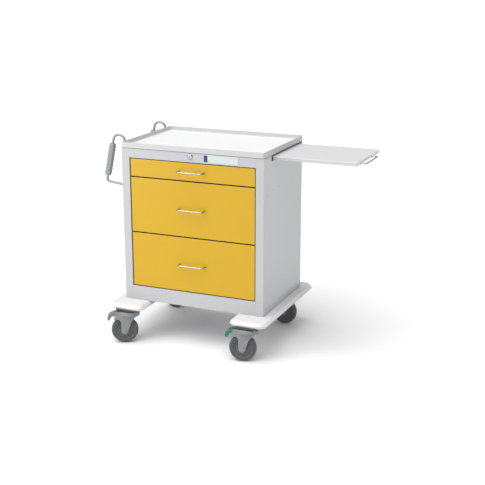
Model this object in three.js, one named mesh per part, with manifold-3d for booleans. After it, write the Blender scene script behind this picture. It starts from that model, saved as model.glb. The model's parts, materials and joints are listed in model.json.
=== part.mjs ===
// A crash cart: a three-drawer steel cabinet on two bumper rails and four swivel castors, with a work tray
// on top, two push handles on its left side and a work shelf that slides out of its right side.
// Millimetres, +Z up, the drawers facing -Y. The cart stands on z = 0.
import * as THREE from "three";
import { mergeVertices } from "three/addons/utils/BufferGeometryUtils.js";
import Module from "manifold-3d";

const wasm = await Module();
wasm.setup();

// Driving dimensions. x is measured from the cabinet's middle plane and y from its front face.
const gap = 0.3; // between pieces that touch
const sheet = 1.5; // steel sheet
const cabinet = { half: 306.5, depth: 425, bottom: 167.5, top: 799.5 };
const opening = { half: 273, bottom: 227, top: 762.4, returnDepth: 20 };
const drawerBase = 228; // underside of the lowest drawer space
const drawerSpaces = [ // from the bottom up: 9, 9 and 3 inch spaces
  { name: "bottom_drawer", height: 228.6, trayHeight: 205, slideLift: 70 },
  { name: "middle_drawer", height: 228.6, trayHeight: 205, slideLift: 70 },
  { name: "top_drawer", height: 76.2, trayHeight: 60, slideLift: 21 },
];
const front = { half: 270, reveal: 1.5, recess: 1.5 }; // a drawer's face
const tray = { half: 259, depth: 384, lift: 6, wall: 1.2 }; // the box behind it
const slide = { start: 30, length: 375, innerHalf: 12.5, play: 0.6, wall: 1.6 };
const pull = { wire: 4, half: 55, reach: 24, bend: 10 };
const topTray = {
  half: 307.7, front: -2, back: 430, lip: 2.8, corner: 7,
  lipBottom: 801.3, floor: 807.5, top: 823, floorSheet: 3.5, padInset: 12,
};
const shelf = { length: 400, front: 98, back: 398, bottom: 777.7, top: 793.2, reach: 337 };
const slot = { front: 80, back: 416, bottom: 776.5 }; // the cut in the right side that the shelf passes through
const guide = { start: -110, height: 20.2, flange: 12, wall: 1.8 };
const rail = {
  inner: 192, outer: 347, front: -87.5, back: 494, bottom: 146,
  outerCorner: 43, innerCorner: 30, edge: 4, wall: 25, roof: 6,
};
const lock = { x: -3, z: 785.7, body: 9.5, plug: 7, bezel: 12 };
const lockBar = { x: 277, width: 14, front: 21.8, back: 24.8, bottom: 285, arm: 764.5, armHeight: 10 };
const castor = { x: 264, frontY: -57.5, rearY: 402 };
const fork = { trail: 18, axle: 55, crown: 120, top: 134.7, kingpin: 6, inner: 18.5, outer: 23 };
const pedalPin = { x: -50, z: 127, radius: 2.5 }; // from the swivel axis, and above the floor
const pushRod = {
  radius: 4.75, ys: [48, 403],
  inner: -318, endZ: 735, top: 840, outer: -366, foot: -407, footZ: 646, wallZ: 635,
};
const grip = { middleZ: 738, length: 136, half: 12, ridges: 9, ridgeMargin: 10, ridgeDepth: 1.5 };

// Finishes.
const finish = (color, roughness, metalness) =>
  new THREE.MeshStandardMaterial({ color, roughness, metalness });
const lightGreyPaint = finish(0xd3d4d8, 0.45, 0.1);
const yellowPaint = finish(0xe6b432, 0.4, 0.1);
const whitePlastic = finish(0xf2f1ee, 0.5, 0);
const palePlastic = finish(0xdcdde0, 0.5, 0);
const zincSteel = finish(0xb9bcc0, 0.35, 0.9);
const chrome = finish(0xe0e0e0, 0.1, 1);
const greyRod = finish(0x8f9296, 0.35, 0.8);
const greyRubber = finish(0x77797c, 0.7, 0);
const castorGrey = finish(0x929396, 0.5, 0.1);
const hubGrey = finish(0x6f7174, 0.6, 0);
const tyreGrey = finish(0x55575a, 0.8, 0);
const greenPlastic = finish(0x1e6e55, 0.5, 0);

const cart = new THREE.Group();

// Shapes.
const box = (x0, x1, y0, y1, z0, z1) =>
  new THREE.BoxGeometry(x1 - x0, y1 - y0, z1 - z0)
    .translate((x0 + x1) / 2, (y0 + y1) / 2, (z0 + z1) / 2);
const outline = (points) => new THREE.Shape(points.map(([u, v]) => new THREE.Vector2(u, v)));
const plain = { bevelEnabled: false, curveSegments: 4 };
const alongX = (shape, x0, x1) => // an outline in (y, z)
  new THREE.ExtrudeGeometry(shape, { ...plain, depth: x1 - x0 })
    .rotateX(Math.PI / 2)
    .rotateZ(Math.PI / 2)
    .translate(x0, 0, 0);
const alongY = (shape, y0, y1) => // an outline in (x, z)
  new THREE.ExtrudeGeometry(shape, { ...plain, depth: y1 - y0 }).rotateX(Math.PI / 2).translate(0, y1, 0);
const alongZ = (shape, z0, z1) => // an outline in (x, y)
  new THREE.ExtrudeGeometry(shape, { ...plain, depth: z1 - z0 }).translate(0, 0, z0);
const rodY = (radius, x, z, y0, y1, sides = 16) =>
  new THREE.CylinderGeometry(radius, radius, y1 - y0, sides).translate(x, (y0 + y1) / 2, z);
const rodZ = (radius, x, y, z0, z1, sides = 20) =>
  new THREE.CylinderGeometry(radius, radius, z1 - z0, sides).rotateX(Math.PI / 2).translate(x, y, (z0 + z1) / 2);

function roundedRectangle(x0, x1, y0, y1, leftRadius, rightRadius = leftRadius) {
  const shape = new THREE.Shape();
  const quarter = Math.PI / 2;
  shape.absarc(x1 - rightRadius, y0 + rightRadius, rightRadius, -quarter, 0);
  shape.absarc(x1 - rightRadius, y1 - rightRadius, rightRadius, 0, quarter);
  shape.absarc(x0 + leftRadius, y1 - leftRadius, leftRadius, quarter, 2 * quarter);
  shape.absarc(x0 + leftRadius, y0 + leftRadius, leftRadius, 2 * quarter, 3 * quarter);
  return shape;
}

// A rectangle with a rectangular hole in it.
function frameOutline(x0, x1, y0, y1, hole) {
  const shape = outline([[x0, y0], [x1, y0], [x1, y1], [x0, y1]]);
  shape.holes.push(outline([[hole[0], hole[2]], [hole[0], hole[3]], [hole[1], hole[3]], [hole[1], hole[2]]]));
  return shape;
}

// A ring turned about the y axis, its section given as points (radius, y) anticlockwise.
function turned(section, sides) {
  const points = [...section, section[0]].map(([r, y]) => new THREE.Vector2(r, y));
  return new THREE.LatheGeometry(points, sides);
}

function toSolid(geometry) {
  const bare = geometry.clone();
  bare.deleteAttribute("normal");
  bare.deleteAttribute("uv");
  const merged = mergeVertices(bare, 1e-4);
  const vertProperties = new Float32Array(merged.attributes.position.array);
  const triVerts = new Uint32Array(merged.index.array);
  return new wasm.Manifold(new wasm.Mesh({ numProp: 3, vertProperties, triVerts }));
}

function toGeometry(solid) {
  const mesh = solid.getMesh();
  const geometry = new THREE.BufferGeometry();
  geometry.setAttribute("position", new THREE.BufferAttribute(mesh.vertProperties, 3));
  geometry.setIndex(new THREE.BufferAttribute(mesh.triVerts, 1));
  geometry.computeVertexNormals();
  return geometry;
}

// The joined pieces, less the cutters.
function carve(pieces, cutters = []) {
  const whole = pieces.map(toSolid).reduce((sum, piece) => sum.add(piece));
  return toGeometry(cutters.map(toSolid).reduce((rest, cutter) => rest.subtract(cutter), whole));
}

// A bent wire through corner points, with every inner corner rounded to its own radius.
class WirePath extends THREE.Curve {
  constructor(corners, radii, arcSteps) {
    super();
    this.points = [corners[0]];
    for (let i = 1; i < corners.length - 1; i += 1) {
      const toward = corners[i - 1].clone().sub(corners[i]).normalize();
      const away = corners[i + 1].clone().sub(corners[i]).normalize();
      const halfAngle = toward.angleTo(away) / 2;
      const middle = toward.clone().add(away).normalize();
      const centre = corners[i].clone().addScaledVector(middle, radii[i - 1] / Math.sin(halfAngle));
      const start = corners[i].clone().addScaledVector(toward, radii[i - 1] / Math.tan(halfAngle)).sub(centre);
      const axis = start.clone().cross(middle.clone().negate()).normalize();
      for (let step = 0; step <= arcSteps; step += 1) {
        const angle = ((Math.PI - 2 * halfAngle) * step) / arcSteps;
        this.points.push(start.clone().applyAxisAngle(axis, angle).add(centre));
      }
    }
    this.points.push(corners[corners.length - 1]);
  }

  getSpacedPoints() {
    return this.points;
  }

  getTangentAt(u, target = new THREE.Vector3()) {
    const last = this.points.length - 1;
    const i = Math.round(u * last);
    return target.copy(this.points[Math.min(i + 1, last)]).sub(this.points[Math.max(i - 1, 0)]).normalize();
  }
}

function wire(corners, radii, radius, { sides = 8, arcSteps = 4 } = {}) {
  const path = new WirePath(corners.map((c) => new THREE.Vector3(...c)), radii, arcSteps);
  const section = outline(Array.from({ length: sides }, (_, i) => {
    const angle = (2 * Math.PI * (i + 0.5)) / sides;
    return [radius * Math.cos(angle), radius * Math.sin(angle)];
  }));
  const steps = path.points.length - 1;
  return new THREE.ExtrudeGeometry(section, { steps, extrudePath: path, bevelEnabled: false });
}

function add(name, geometry, material, group = cart) {
  const mesh = new THREE.Mesh(geometry, material);
  mesh.name = name;
  group.add(mesh);
}

// Cabinet shell.
const sideSpan = [sheet + gap, cabinet.depth - sheet - gap];
const insideHalf = cabinet.half - sheet - gap;

function frontFrame() {
  const { half, bottom, top, returnDepth } = opening;
  const hole = [-half, half, bottom, top];
  const face = frameOutline(-cabinet.half, cabinet.half, cabinet.bottom, cabinet.top, hole);
  const wall = frameOutline(-half - sheet, half + sheet, bottom - sheet, top + sheet, hole);
  const lockHole = rodY(lock.body + gap, lock.x, lock.z, -1, sheet + 1, 24);
  return carve([alongY(face, 0, sheet), alongY(wall, 0, returnDepth)], [lockHole]);
}

function sidePanel(x0, x1, cutters) {
  return carve([box(x0, x1, ...sideSpan, cabinet.bottom, cabinet.top)], cutters);
}

const panRim = 15;
const bottomPan = outline([
  [-insideHalf, cabinet.bottom], [insideHalf, cabinet.bottom], [insideHalf, cabinet.bottom + panRim],
  [insideHalf - sheet, cabinet.bottom + panRim], [insideHalf - sheet, cabinet.bottom + sheet],
  [-insideHalf + sheet, cabinet.bottom + sheet], [-insideHalf + sheet, cabinet.bottom + panRim],
  [-insideHalf, cabinet.bottom + panRim],
]);
const topPan = outline([
  [sideSpan[0], cabinet.top], [sideSpan[0], cabinet.top - sheet], [sideSpan[1] - sheet, cabinet.top - sheet],
  [sideSpan[1] - sheet, cabinet.top - panRim], [sideSpan[1], cabinet.top - panRim], [sideSpan[1], cabinet.top],
]);

add("front_frame", frontFrame(), lightGreyPaint);
add("left_side_panel", sidePanel(-cabinet.half, -cabinet.half + sheet, []), lightGreyPaint);
add("right_side_panel", sidePanel(cabinet.half - sheet, cabinet.half, [
  box(cabinet.half - 5, cabinet.half + 5, slot.front, slot.back, slot.bottom, cabinet.top + 5),
]), lightGreyPaint);
add("back_panel",
  box(-cabinet.half, cabinet.half, cabinet.depth - sheet, cabinet.depth, cabinet.bottom, cabinet.top),
  lightGreyPaint);
add("bottom_pan", alongY(bottomPan, ...sideSpan), lightGreyPaint);
add("cabinet_top_pan", alongX(topPan, -insideHalf, insideHalf), lightGreyPaint);

// Work tray on top: a raised lip round a flat floor, standing on a lower pad.
function workTray() {
  const { half, front: y0, back: y1, lipBottom, floor, top, lip, corner, floorSheet, padInset } = topTray;
  const block = alongZ(roundedRectangle(-half, half, y0, y1, corner), lipBottom, top);
  const inside = (z0, z1) =>
    alongZ(roundedRectangle(-half + lip, half - lip, y0 + lip, y1 - lip, corner - lip), z0, z1);
  const padHalf = half - padInset;
  const pad = box(-padHalf, padHalf, y0 + padInset, y1 - padInset, cabinet.top + gap, floor - 1);
  const hollow = carve([block], [inside(floor, top + 1), inside(lipBottom - 1, floor - floorSheet)]);
  return carve([hollow, pad]);
}
add("top_tray", workTray(), whitePlastic);

// Bumper rails under the cabinet, one along each side, hollow from below between the castors.
function bumperRail(side) {
  const { inner, outer, front: y0, back: y1, bottom, outerCorner, innerCorner, edge, wall, roof } = rail;
  const height = cabinet.bottom - gap - bottom;
  const shape = roundedRectangle(inner, outer, y0, y1, innerCorner, outerCorner);
  const body = new THREE.ExtrudeGeometry(shape, {
    depth: height - 2 * edge,
    bevelSize: edge,
    bevelThickness: edge,
    bevelOffset: -edge,
    bevelSegments: 1,
    curveSegments: 4,
  }).translate(0, 0, bottom + edge);
  const castorRoom = 80;
  const pocket = box(inner + wall, outer - wall, castor.frontY + castorRoom, castor.rearY - castorRoom,
    bottom - 1, bottom + height - roof);
  const right = toSolid(carve([body], [pocket]));
  return toGeometry(side > 0 ? right : right.mirror([1, 0, 0]));
}
add("left_base_rail", bumperRail(-1), whitePlastic);
add("right_base_rail", bumperRail(1), whitePlastic);

// Side shelf, drawn out at rest, and the two channels it slides in.
const shelfEnd = cabinet.half + shelf.reach;
add("side_shelf",
  box(shelfEnd - shelf.length, shelfEnd, shelf.front, shelf.back, shelf.bottom, shelf.top),
  palePlastic);

function shelfGuide(edgeY, inward) {
  const low = (shelf.bottom + shelf.top - guide.height) / 2;
  const high = low + guide.height;
  const back = edgeY - inward * gap;
  const web = back - inward * guide.wall;
  const tip = web + inward * guide.flange;
  const section = [
    [web, low], [tip, low], [tip, low + guide.wall], [back, low + guide.wall],
    [back, high - guide.wall], [tip, high - guide.wall], [tip, high], [back, high],
    [back, cabinet.top - sheet - gap], [web, cabinet.top - sheet - gap],
  ];
  return alongX(outline(inward > 0 ? section : section.reverse()), guide.start, insideHalf);
}
add("shelf_guide_front", shelfGuide(shelf.front, 1), zincSteel);
add("shelf_guide_rear", shelfGuide(shelf.back, -1), zincSteel);

const shelfPull = { half: 75, y: 212, reach: 24 };
const shelfPullZ = (shelf.bottom + shelf.top) / 2;
add("shelf_pull", wire([
  [shelfEnd + gap, shelfPull.y - shelfPull.half, shelfPullZ],
  [shelfEnd + shelfPull.reach, shelfPull.y - shelfPull.half, shelfPullZ],
  [shelfEnd + shelfPull.reach, shelfPull.y + shelfPull.half, shelfPullZ],
  [shelfEnd + gap, shelfPull.y + shelfPull.half, shelfPullZ],
], [pull.bend, pull.bend], pull.wire), chrome);

// Drawers on three-part runners. A runner is drawn for the right side and mirrored for the left.
const innerRunnerEdge = 264;
const middleRunner = { x0: 261, x1: 267.5, half: slide.innerHalf + slide.play + slide.wall };
const outerRunner = { x0: 263, x1: 271, half: middleRunner.half + slide.play + slide.wall };

function channel(runner, z, y0, y1) {
  const { x0, x1, half } = runner;
  const inside = half - slide.wall;
  return alongY(outline([
    [x0, z - half], [x1, z - half], [x1, z + half], [x0, z + half],
    [x0, z + inside], [x1 - slide.wall, z + inside], [x1 - slide.wall, z - inside], [x0, z - inside],
  ]), y0, y1);
}

function mirrored(geometry, side) {
  const solid = toSolid(geometry);
  return toGeometry(side > 0 ? solid : solid.mirror([1, 0, 0]));
}

function outerSlide(z, side) {
  const foot = { length: 25, half: 10, inset: 12 };
  const end = slide.start + slide.length;
  const feet = [slide.start + foot.inset, end - foot.inset - foot.length].map((y) =>
    box(outerRunner.x1 - 1, insideHalf, y, y + foot.length, z - foot.half, z + foot.half));
  return mirrored(carve([channel(outerRunner, z, slide.start, end), ...feet]), side);
}

// How far above a runner's middle the lock bar's tongue and the drawer's hook lie.
const tongueZ = [outerRunner.half + 2.5, outerRunner.half + 10.5];
const hookZ = [outerRunner.half + 12, outerRunner.half + 21];

function drawerTray(z0, height, slideZ) {
  const y0 = opening.returnDepth + gap;
  const y1 = y0 + tray.depth;
  const { half, wall } = tray;
  const shell = box(-half, half, y0, y1, z0, z0 + height);
  const inside = box(-half + wall, half - wall, y0 + wall, y1 - wall, z0 + wall, z0 + height + 1);
  const runnerY = [slide.start, slide.start + slide.length - 2];
  const runners = [-1, 1].map((side) => {
    const edges = [side * (half - 1), side * innerRunnerEdge].sort((a, b) => a - b);
    return box(...edges, ...runnerY, slideZ - slide.innerHalf, slideZ + slide.innerHalf);
  });
  const hook = box(half - 1, half + 10.5, 26.5, 29, slideZ + hookZ[0], slideZ + hookZ[1]);
  return carve([shell, ...runners, hook], [inside]);
}

function drawerFront(z0, z1) {
  const { half, recess } = front;
  const y1 = opening.returnDepth;
  return carve([box(-half, half, recess, y1, z0, z1)],
    [box(-half + sheet, half - sheet, recess + sheet, y1 + 1, z0 + sheet, z1 - sheet)]);
}

function drawerPull(z) {
  const start = front.recess - gap;
  return wire([
    [-pull.half, start, z], [-pull.half, -pull.reach, z],
    [pull.half, -pull.reach, z], [pull.half, start, z],
  ], [pull.bend, pull.bend], pull.wire);
}

const tongues = [];
let spaceBottom = drawerBase;
for (const space of drawerSpaces) {
  const spaceTop = spaceBottom + space.height;
  const trayBottom = spaceBottom + tray.lift;
  const slideZ = trayBottom + space.slideLift;
  add(`${space.name}_front`, drawerFront(spaceBottom + front.reveal, spaceTop - front.reveal), yellowPaint);
  add(`${space.name}_tray`, drawerTray(trayBottom, space.trayHeight, slideZ), palePlastic);
  add(`${space.name}_pull`, drawerPull((spaceBottom + spaceTop) / 2), chrome);
  for (const [hand, side] of [["left", -1], ["right", 1]]) {
    add(`${space.name}_${hand}_outer_slide`, outerSlide(slideZ, side), zincSteel);
    add(`${space.name}_${hand}_middle_slide`,
      mirrored(channel(middleRunner, slideZ, slide.start, slide.start + slide.length), side), zincSteel);
  }
  tongues.push(
    box(263, lockBar.x + 1, lockBar.front, lockBar.back, slideZ + tongueZ[0], slideZ + tongueZ[1]));
  spaceBottom = spaceTop;
}

// Lock: a barrel through the header, a plug that turns in it, and a bar whose tongues rise in front of the
// drawers' hooks to hold them shut.
function lockBarrel() {
  const nut = rodY(lock.bezel - gap, lock.x, lock.z, sheet + gap, 6, 6);
  const body = rodY(lock.body, lock.x, lock.z, -1, 28, 24);
  const bezel = rodY(lock.bezel, lock.x, lock.z, -3.3, -gap, 24);
  return carve([body, bezel, nut], [rodY(lock.plug + gap, lock.x, lock.z, -5, 30, 20)]);
}

function lockPlug() {
  const plug = rodY(lock.plug, lock.x, lock.z, -3.6, 31, 20);
  const cam = box(lock.x - 24, lock.x, 28.5, 31, lock.z - 5, lock.z + 5);
  const keyway = box(lock.x - 1, lock.x + 1, -4, 4, lock.z - 4, lock.z + 4);
  return carve([plug, cam], [keyway]);
}

function drawerLockBar() {
  const { x, width, front: y0, back: y1, bottom, arm, armHeight } = lockBar;
  const upright = box(x, x + width, y0, y1, bottom, arm + armHeight);
  const cross = box(14, x + 1, y0, y1, arm, arm + armHeight);
  const lug = box(14, 26, y0, y1, arm + armHeight - 1, arm + armHeight + 10);
  return carve([upright, cross, lug, ...tongues]);
}
add("lock_barrel", lockBarrel(), chrome);
add("lock_plug", lockPlug(), zincSteel);
add("lock_bar", drawerLockBar(), zincSteel);

// Push handles on the left side: a bent rod with its upper end in a clamp block, and a grip on its leaning leg.
function pushHandleRod(y) {
  const { radius, inner, top, outer, foot, footZ, wallZ, endZ } = pushRod;
  const wall = -cabinet.half - gap;
  const path = [[inner, y, endZ], [inner, y, top], [outer, y, top], [foot, y, footZ], [wall - 1, y, wallZ]];
  const rod = wire(path, [24, 24, 10], radius, { arcSteps: 6 });
  const clamp = box(inner - 9, wall, y - 12, y + 12, endZ, endZ + 26);
  const flange = new THREE.CylinderGeometry(13, 13, 4, 16).rotateZ(Math.PI / 2).translate(wall - 2, y, wallZ);
  return carve([rod, clamp, flange]);
}

// A grip with shallow ridges on the side toward the cabinet, drawn upright and then leaned with the rod.
function pushGrip(y) {
  const { middleZ, length, half, ridges, ridgeMargin, ridgeDepth } = grip;
  const pitch = (length - 2 * ridgeMargin) / ridges;
  const crest = half + 2;
  const shape = new THREE.Shape();
  shape.moveTo(-half, 8);
  shape.quadraticCurveTo(-half, 0, -half + 6, 0);
  shape.lineTo(half - 4, 0);
  shape.lineTo(crest, ridgeMargin);
  for (let i = 0; i < ridges; i += 1) {
    const z = ridgeMargin + i * pitch;
    shape.quadraticCurveTo(crest - 2 * ridgeDepth, z + pitch / 2, crest, z + pitch);
  }
  shape.lineTo(half - 4, length);
  shape.lineTo(-half + 6, length);
  shape.quadraticCurveTo(-half, length, -half, length - 8);
  const column = alongZ(roundedRectangle(-half, half + 3, -half, half, 7), -1, length + 1);
  const body = toGeometry(toSolid(alongY(shape, -half - 1, half + 1)).intersect(toSolid(column)));
  const bore = rodZ(pushRod.radius + gap, 0, 0, -20, length + 20, 16);
  const slope = (pushRod.foot - pushRod.outer) / (pushRod.top - pushRod.footZ);
  const middleX = pushRod.outer + slope * (pushRod.top - middleZ);
  return carve([body], [bore])
    .translate(0, 0, -length / 2)
    .rotateY(-Math.atan(slope))
    .translate(middleX, y, middleZ);
}
pushRod.ys.forEach((y, i) => {
  const place = ["front", "rear"][i];
  add(`push_rod_${place}`, pushHandleRod(y), greyRod);
  add(`push_grip_${place}`, pushGrip(y), greyRubber);
});

// Castors, each drawn about its own swivel axis with the wheel trailing toward -X.
function castorPlate() {
  const plate = { halfX: 46, halfY: 29, thick: 4.7 };
  const under = rail.bottom - gap;
  return carve([
    box(-plate.halfX, plate.halfX, -plate.halfY, plate.halfY, under - plate.thick, under),
    rodZ(plate.halfY, 0, 0, fork.top + gap, under - 1, 24),
    rodZ(fork.kingpin, 0, 0, fork.crown + 1, fork.top + 1, 12),
  ]);
}

// A moulded fork: a round crown, and two plates that carry the axle, shroud the wheel's rear and hold the
// pedal's pin.
function castorFork(withPedal) {
  const { trail, axle, crown, top, inner, outer } = fork;
  const axleEnd = 15;
  const plate = new THREE.Shape();
  plate.moveTo(43, crown + 1);
  plate.quadraticCurveTo(8, 108, 4, 72);
  plate.absarc(-trail, axle, axleEnd, -0.33, -Math.PI, true);
  plate.lineTo(-trail - axleEnd, 98);
  plate.quadraticCurveTo(-trail - axleEnd - 1, 106, -42, 106);
  plate.lineTo(-58, 103);
  plate.lineTo(-60, top - 8);
  plate.lineTo(-54, top);
  plate.lineTo(43, top);
  const pieces = [
    rodZ(38, 0, 0, crown, top, 24),
    alongZ(roundedRectangle(-40, 44, -outer, outer, 2, 14), crown, top),
    alongY(plate, inner, outer),
    alongY(plate, -outer, -inner),
    rodY(6, -trail, axle, -outer - 3, outer + 3, 12),
  ];
  const cutters = [rodZ(fork.kingpin + gap, 0, 0, 0, top + 5, 12)];
  if (withPedal) cutters.push(rodY(pedalPin.radius + gap, pedalPin.x, pedalPin.z, -30, 30, 10));
  return carve(pieces, cutters);
}

// A foot pedal with a turned-down tip, pinned between the fork's plates.
function castorPedal() {
  const half = fork.inner - 0.7;
  const tip = { front: -88, back: -78.5, bottom: 97 };
  const shape = new THREE.Shape();
  shape.moveTo(-42, 123);
  shape.lineTo(-42, 130);
  shape.lineTo(-48, 132.5);
  shape.lineTo(-60, 131.5);
  shape.lineTo(-70, 128);
  shape.quadraticCurveTo(-86.5, 123, tip.front, 108);
  shape.lineTo(tip.front, tip.bottom);
  shape.lineTo(tip.back, tip.bottom);
  shape.lineTo(tip.back, 106);
  shape.quadraticCurveTo(-77, 115, -68, 118.5);
  shape.lineTo(-58, 121);
  shape.lineTo(-50, 121);
  const pin = rodY(pedalPin.radius, pedalPin.x, pedalPin.z, -fork.outer, fork.outer, 10);
  return carve([alongY(shape, -half, half), pin]);
}

// Sections of the wheel as (radius, distance along the axle).
const hubSection = [
  [6.3, -16.5], [13, -16.5], [15, -10], [40, -13],
  [40, 13], [15, 10], [13, 16.5], [6.3, 16.5],
];
const tyreSection = [[40.3, -15], [50, -16], [55, -10], [55, 10], [50, 16], [40.3, 15]];

// The angle is how far a castor stands turned, anticlockwise seen from above.
const castors = [
  { name: "front_left", x: -castor.x, y: castor.frontY, angle: 28, pedal: ["brake_pedal", castorGrey] },
  { name: "front_right", x: castor.x, y: castor.frontY, angle: 12, pedal: ["direction_pedal", greenPlastic] },
  { name: "rear_left", x: -castor.x, y: castor.rearY, angle: 0, pedal: ["brake_pedal", castorGrey] },
  { name: "rear_right", x: castor.x, y: castor.rearY, angle: 0 },
];
for (const { name, x, y, angle, pedal } of castors) {
  const fixed = new THREE.Group();
  const swivelled = new THREE.Group();
  fixed.position.set(x, y, 0);
  swivelled.rotation.z = THREE.MathUtils.degToRad(angle);
  fixed.add(swivelled);
  cart.add(fixed);
  add(`${name}_castor_plate`, castorPlate(), zincSteel, fixed);
  add(`${name}_castor_fork`, castorFork(Boolean(pedal)), castorGrey, swivelled);
  add(`${name}_wheel_hub`, turned(hubSection, 24).translate(-fork.trail, 0, fork.axle), hubGrey, swivelled);
  add(`${name}_tyre`, turned(tyreSection, 24).translate(-fork.trail, 0, fork.axle), tyreGrey, swivelled);
  if (pedal) add(`${name}_${pedal[0]}`, castorPedal(), pedal[1], swivelled);
}

// The origin is on the floor under the middle of the whole cart's box.
const bounds = new THREE.Box3().setFromObject(cart, true);
const middle = bounds.getCenter(new THREE.Vector3());
cart.position.set(-middle.x, -middle.y, 0);

export default cart;
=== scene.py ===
import json
import math

import bmesh
import bpy
from mathutils import Matrix, Vector

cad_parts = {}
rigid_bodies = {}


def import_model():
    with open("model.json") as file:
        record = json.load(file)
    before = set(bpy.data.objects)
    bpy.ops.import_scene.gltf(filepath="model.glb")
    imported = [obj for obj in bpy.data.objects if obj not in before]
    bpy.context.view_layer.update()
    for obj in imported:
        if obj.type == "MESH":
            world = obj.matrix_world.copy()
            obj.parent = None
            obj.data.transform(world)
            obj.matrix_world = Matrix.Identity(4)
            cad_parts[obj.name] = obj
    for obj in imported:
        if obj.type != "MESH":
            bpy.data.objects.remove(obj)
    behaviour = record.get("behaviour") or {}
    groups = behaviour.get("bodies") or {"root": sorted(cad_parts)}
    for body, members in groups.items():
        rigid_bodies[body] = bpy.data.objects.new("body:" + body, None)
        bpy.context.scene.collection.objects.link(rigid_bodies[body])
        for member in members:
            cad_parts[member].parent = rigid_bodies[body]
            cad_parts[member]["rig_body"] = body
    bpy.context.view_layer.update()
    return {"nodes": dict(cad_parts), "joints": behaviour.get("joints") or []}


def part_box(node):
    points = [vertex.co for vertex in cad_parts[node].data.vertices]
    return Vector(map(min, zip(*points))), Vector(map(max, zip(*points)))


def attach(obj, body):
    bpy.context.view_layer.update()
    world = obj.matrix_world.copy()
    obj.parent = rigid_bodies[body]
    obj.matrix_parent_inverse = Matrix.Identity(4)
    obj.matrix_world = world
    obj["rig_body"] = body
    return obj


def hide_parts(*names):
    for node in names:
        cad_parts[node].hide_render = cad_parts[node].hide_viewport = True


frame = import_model()

# Shapes are drawn in cart millimetres: x from the cabinet's middle, y from its front face, z from the floor.
mm = 0.001
frontLow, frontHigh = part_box("front_frame")
cartOrigin = Vector(((frontLow.x + frontHigh.x) / 2, frontLow.y, 0.0))
toRow = Matrix.Translation(cartOrigin) @ Matrix.Scale(mm, 4)
bodyOf = {node: obj["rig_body"] for node, obj in frame["nodes"].items()}
scene = bpy.context.scene


def cartBox(node):
    low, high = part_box(node)
    return (low - cartOrigin) / mm, (high - cartOrigin) / mm


def cartMiddle(node):
    low, high = cartBox(node)
    return (low + high) / 2


def linear(red, green, blue):
    # 0-255 screen values to linear colour
    shares = [value / 255 for value in (red, green, blue)]
    return tuple(((c + 0.055) / 1.055) ** 2.4 if c > 0.04 else c / 12.92 for c in shares)


# Node helpers
def feed(tree, socket, value):
    if isinstance(value, bpy.types.NodeSocket):
        tree.links.new(value, socket)
    else:
        socket.default_value = value


def maths(tree, operation, *values, clamp=False):
    node = tree.nodes.new("ShaderNodeMath")
    node.operation = operation
    node.use_clamp = clamp
    for socket, value in zip(node.inputs, values):
        feed(tree, socket, value)
    return node.outputs[0]


def mixColors(tree, factor, first, second):
    node = tree.nodes.new("ShaderNodeMix")
    node.data_type = "RGBA"
    feed(tree, node.inputs[0], factor)
    feed(tree, node.inputs[6], first)
    feed(tree, node.inputs[7], second)
    return node.outputs[2]


def remap(tree, value, low, high, newLow=0.0, newHigh=1.0):
    node = tree.nodes.new("ShaderNodeMapRange")
    for socket, entry in zip(node.inputs, (value, low, high, newLow, newHigh)):
        feed(tree, socket, entry)
    return node.outputs[0]


def noiseAt(tree, vector, scale, detail=3.0):
    node = tree.nodes.new("ShaderNodeTexNoise")
    feed(tree, node.inputs["Vector"], vector)
    feed(tree, node.inputs["Scale"], scale)
    feed(tree, node.inputs["Detail"], detail)
    return node.outputs[0]


def objectPlace(tree):
    return tree.nodes.new("ShaderNodeTexCoord").outputs["Object"]


def shaderGroup(name, inputs, outputs):
    group = bpy.data.node_groups.new(name, "ShaderNodeTree")
    for label, kind, value in inputs:
        group.interface.new_socket(label, in_out="INPUT", socket_type=kind).default_value = value
    for label, kind in outputs:
        group.interface.new_socket(label, in_out="OUTPUT", socket_type=kind)
    return group, group.nodes.new("NodeGroupInput"), group.nodes.new("NodeGroupOutput")


number, colour, arrow = "NodeSocketFloat", "NodeSocketColor", "NodeSocketVector"


def orangePeelGroup():
    # sprayed and baked paint: soft ripples with a finer one over them
    group, given, made = shaderGroup("orangePeel", [("Scale", number, 500.0)], [("Height", number)])
    place = objectPlace(group)
    ripple = noiseAt(group, place, given.outputs["Scale"], 1.0)
    fine = noiseAt(group, place, maths(group, "MULTIPLY", given.outputs["Scale"], 3.7), 2.0)
    feed(group, made.inputs["Height"], maths(group, "ADD", maths(group, "MULTIPLY", ripple, 0.75),
                                             maths(group, "MULTIPLY", fine, 0.25)))
    return group


def pebbleGroup():
    # the leathery grain of a moulded plastic
    group, given, made = shaderGroup("pebble", [("Scale", number, 900.0)], [("Height", number)])
    cells = group.nodes.new("ShaderNodeTexVoronoi")
    cells.feature = "SMOOTH_F1"
    feed(group, cells.inputs["Vector"], objectPlace(group))
    feed(group, cells.inputs["Scale"], given.outputs["Scale"])
    cells.inputs["Smoothness"].default_value = 0.6
    drift = noiseAt(group, objectPlace(group), maths(group, "MULTIPLY", given.outputs["Scale"], 0.3), 2.0)
    feed(group, made.inputs["Height"], maths(group, "ADD", cells.outputs["Distance"],
                                             maths(group, "MULTIPLY", drift, 0.4)))
    return group


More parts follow.
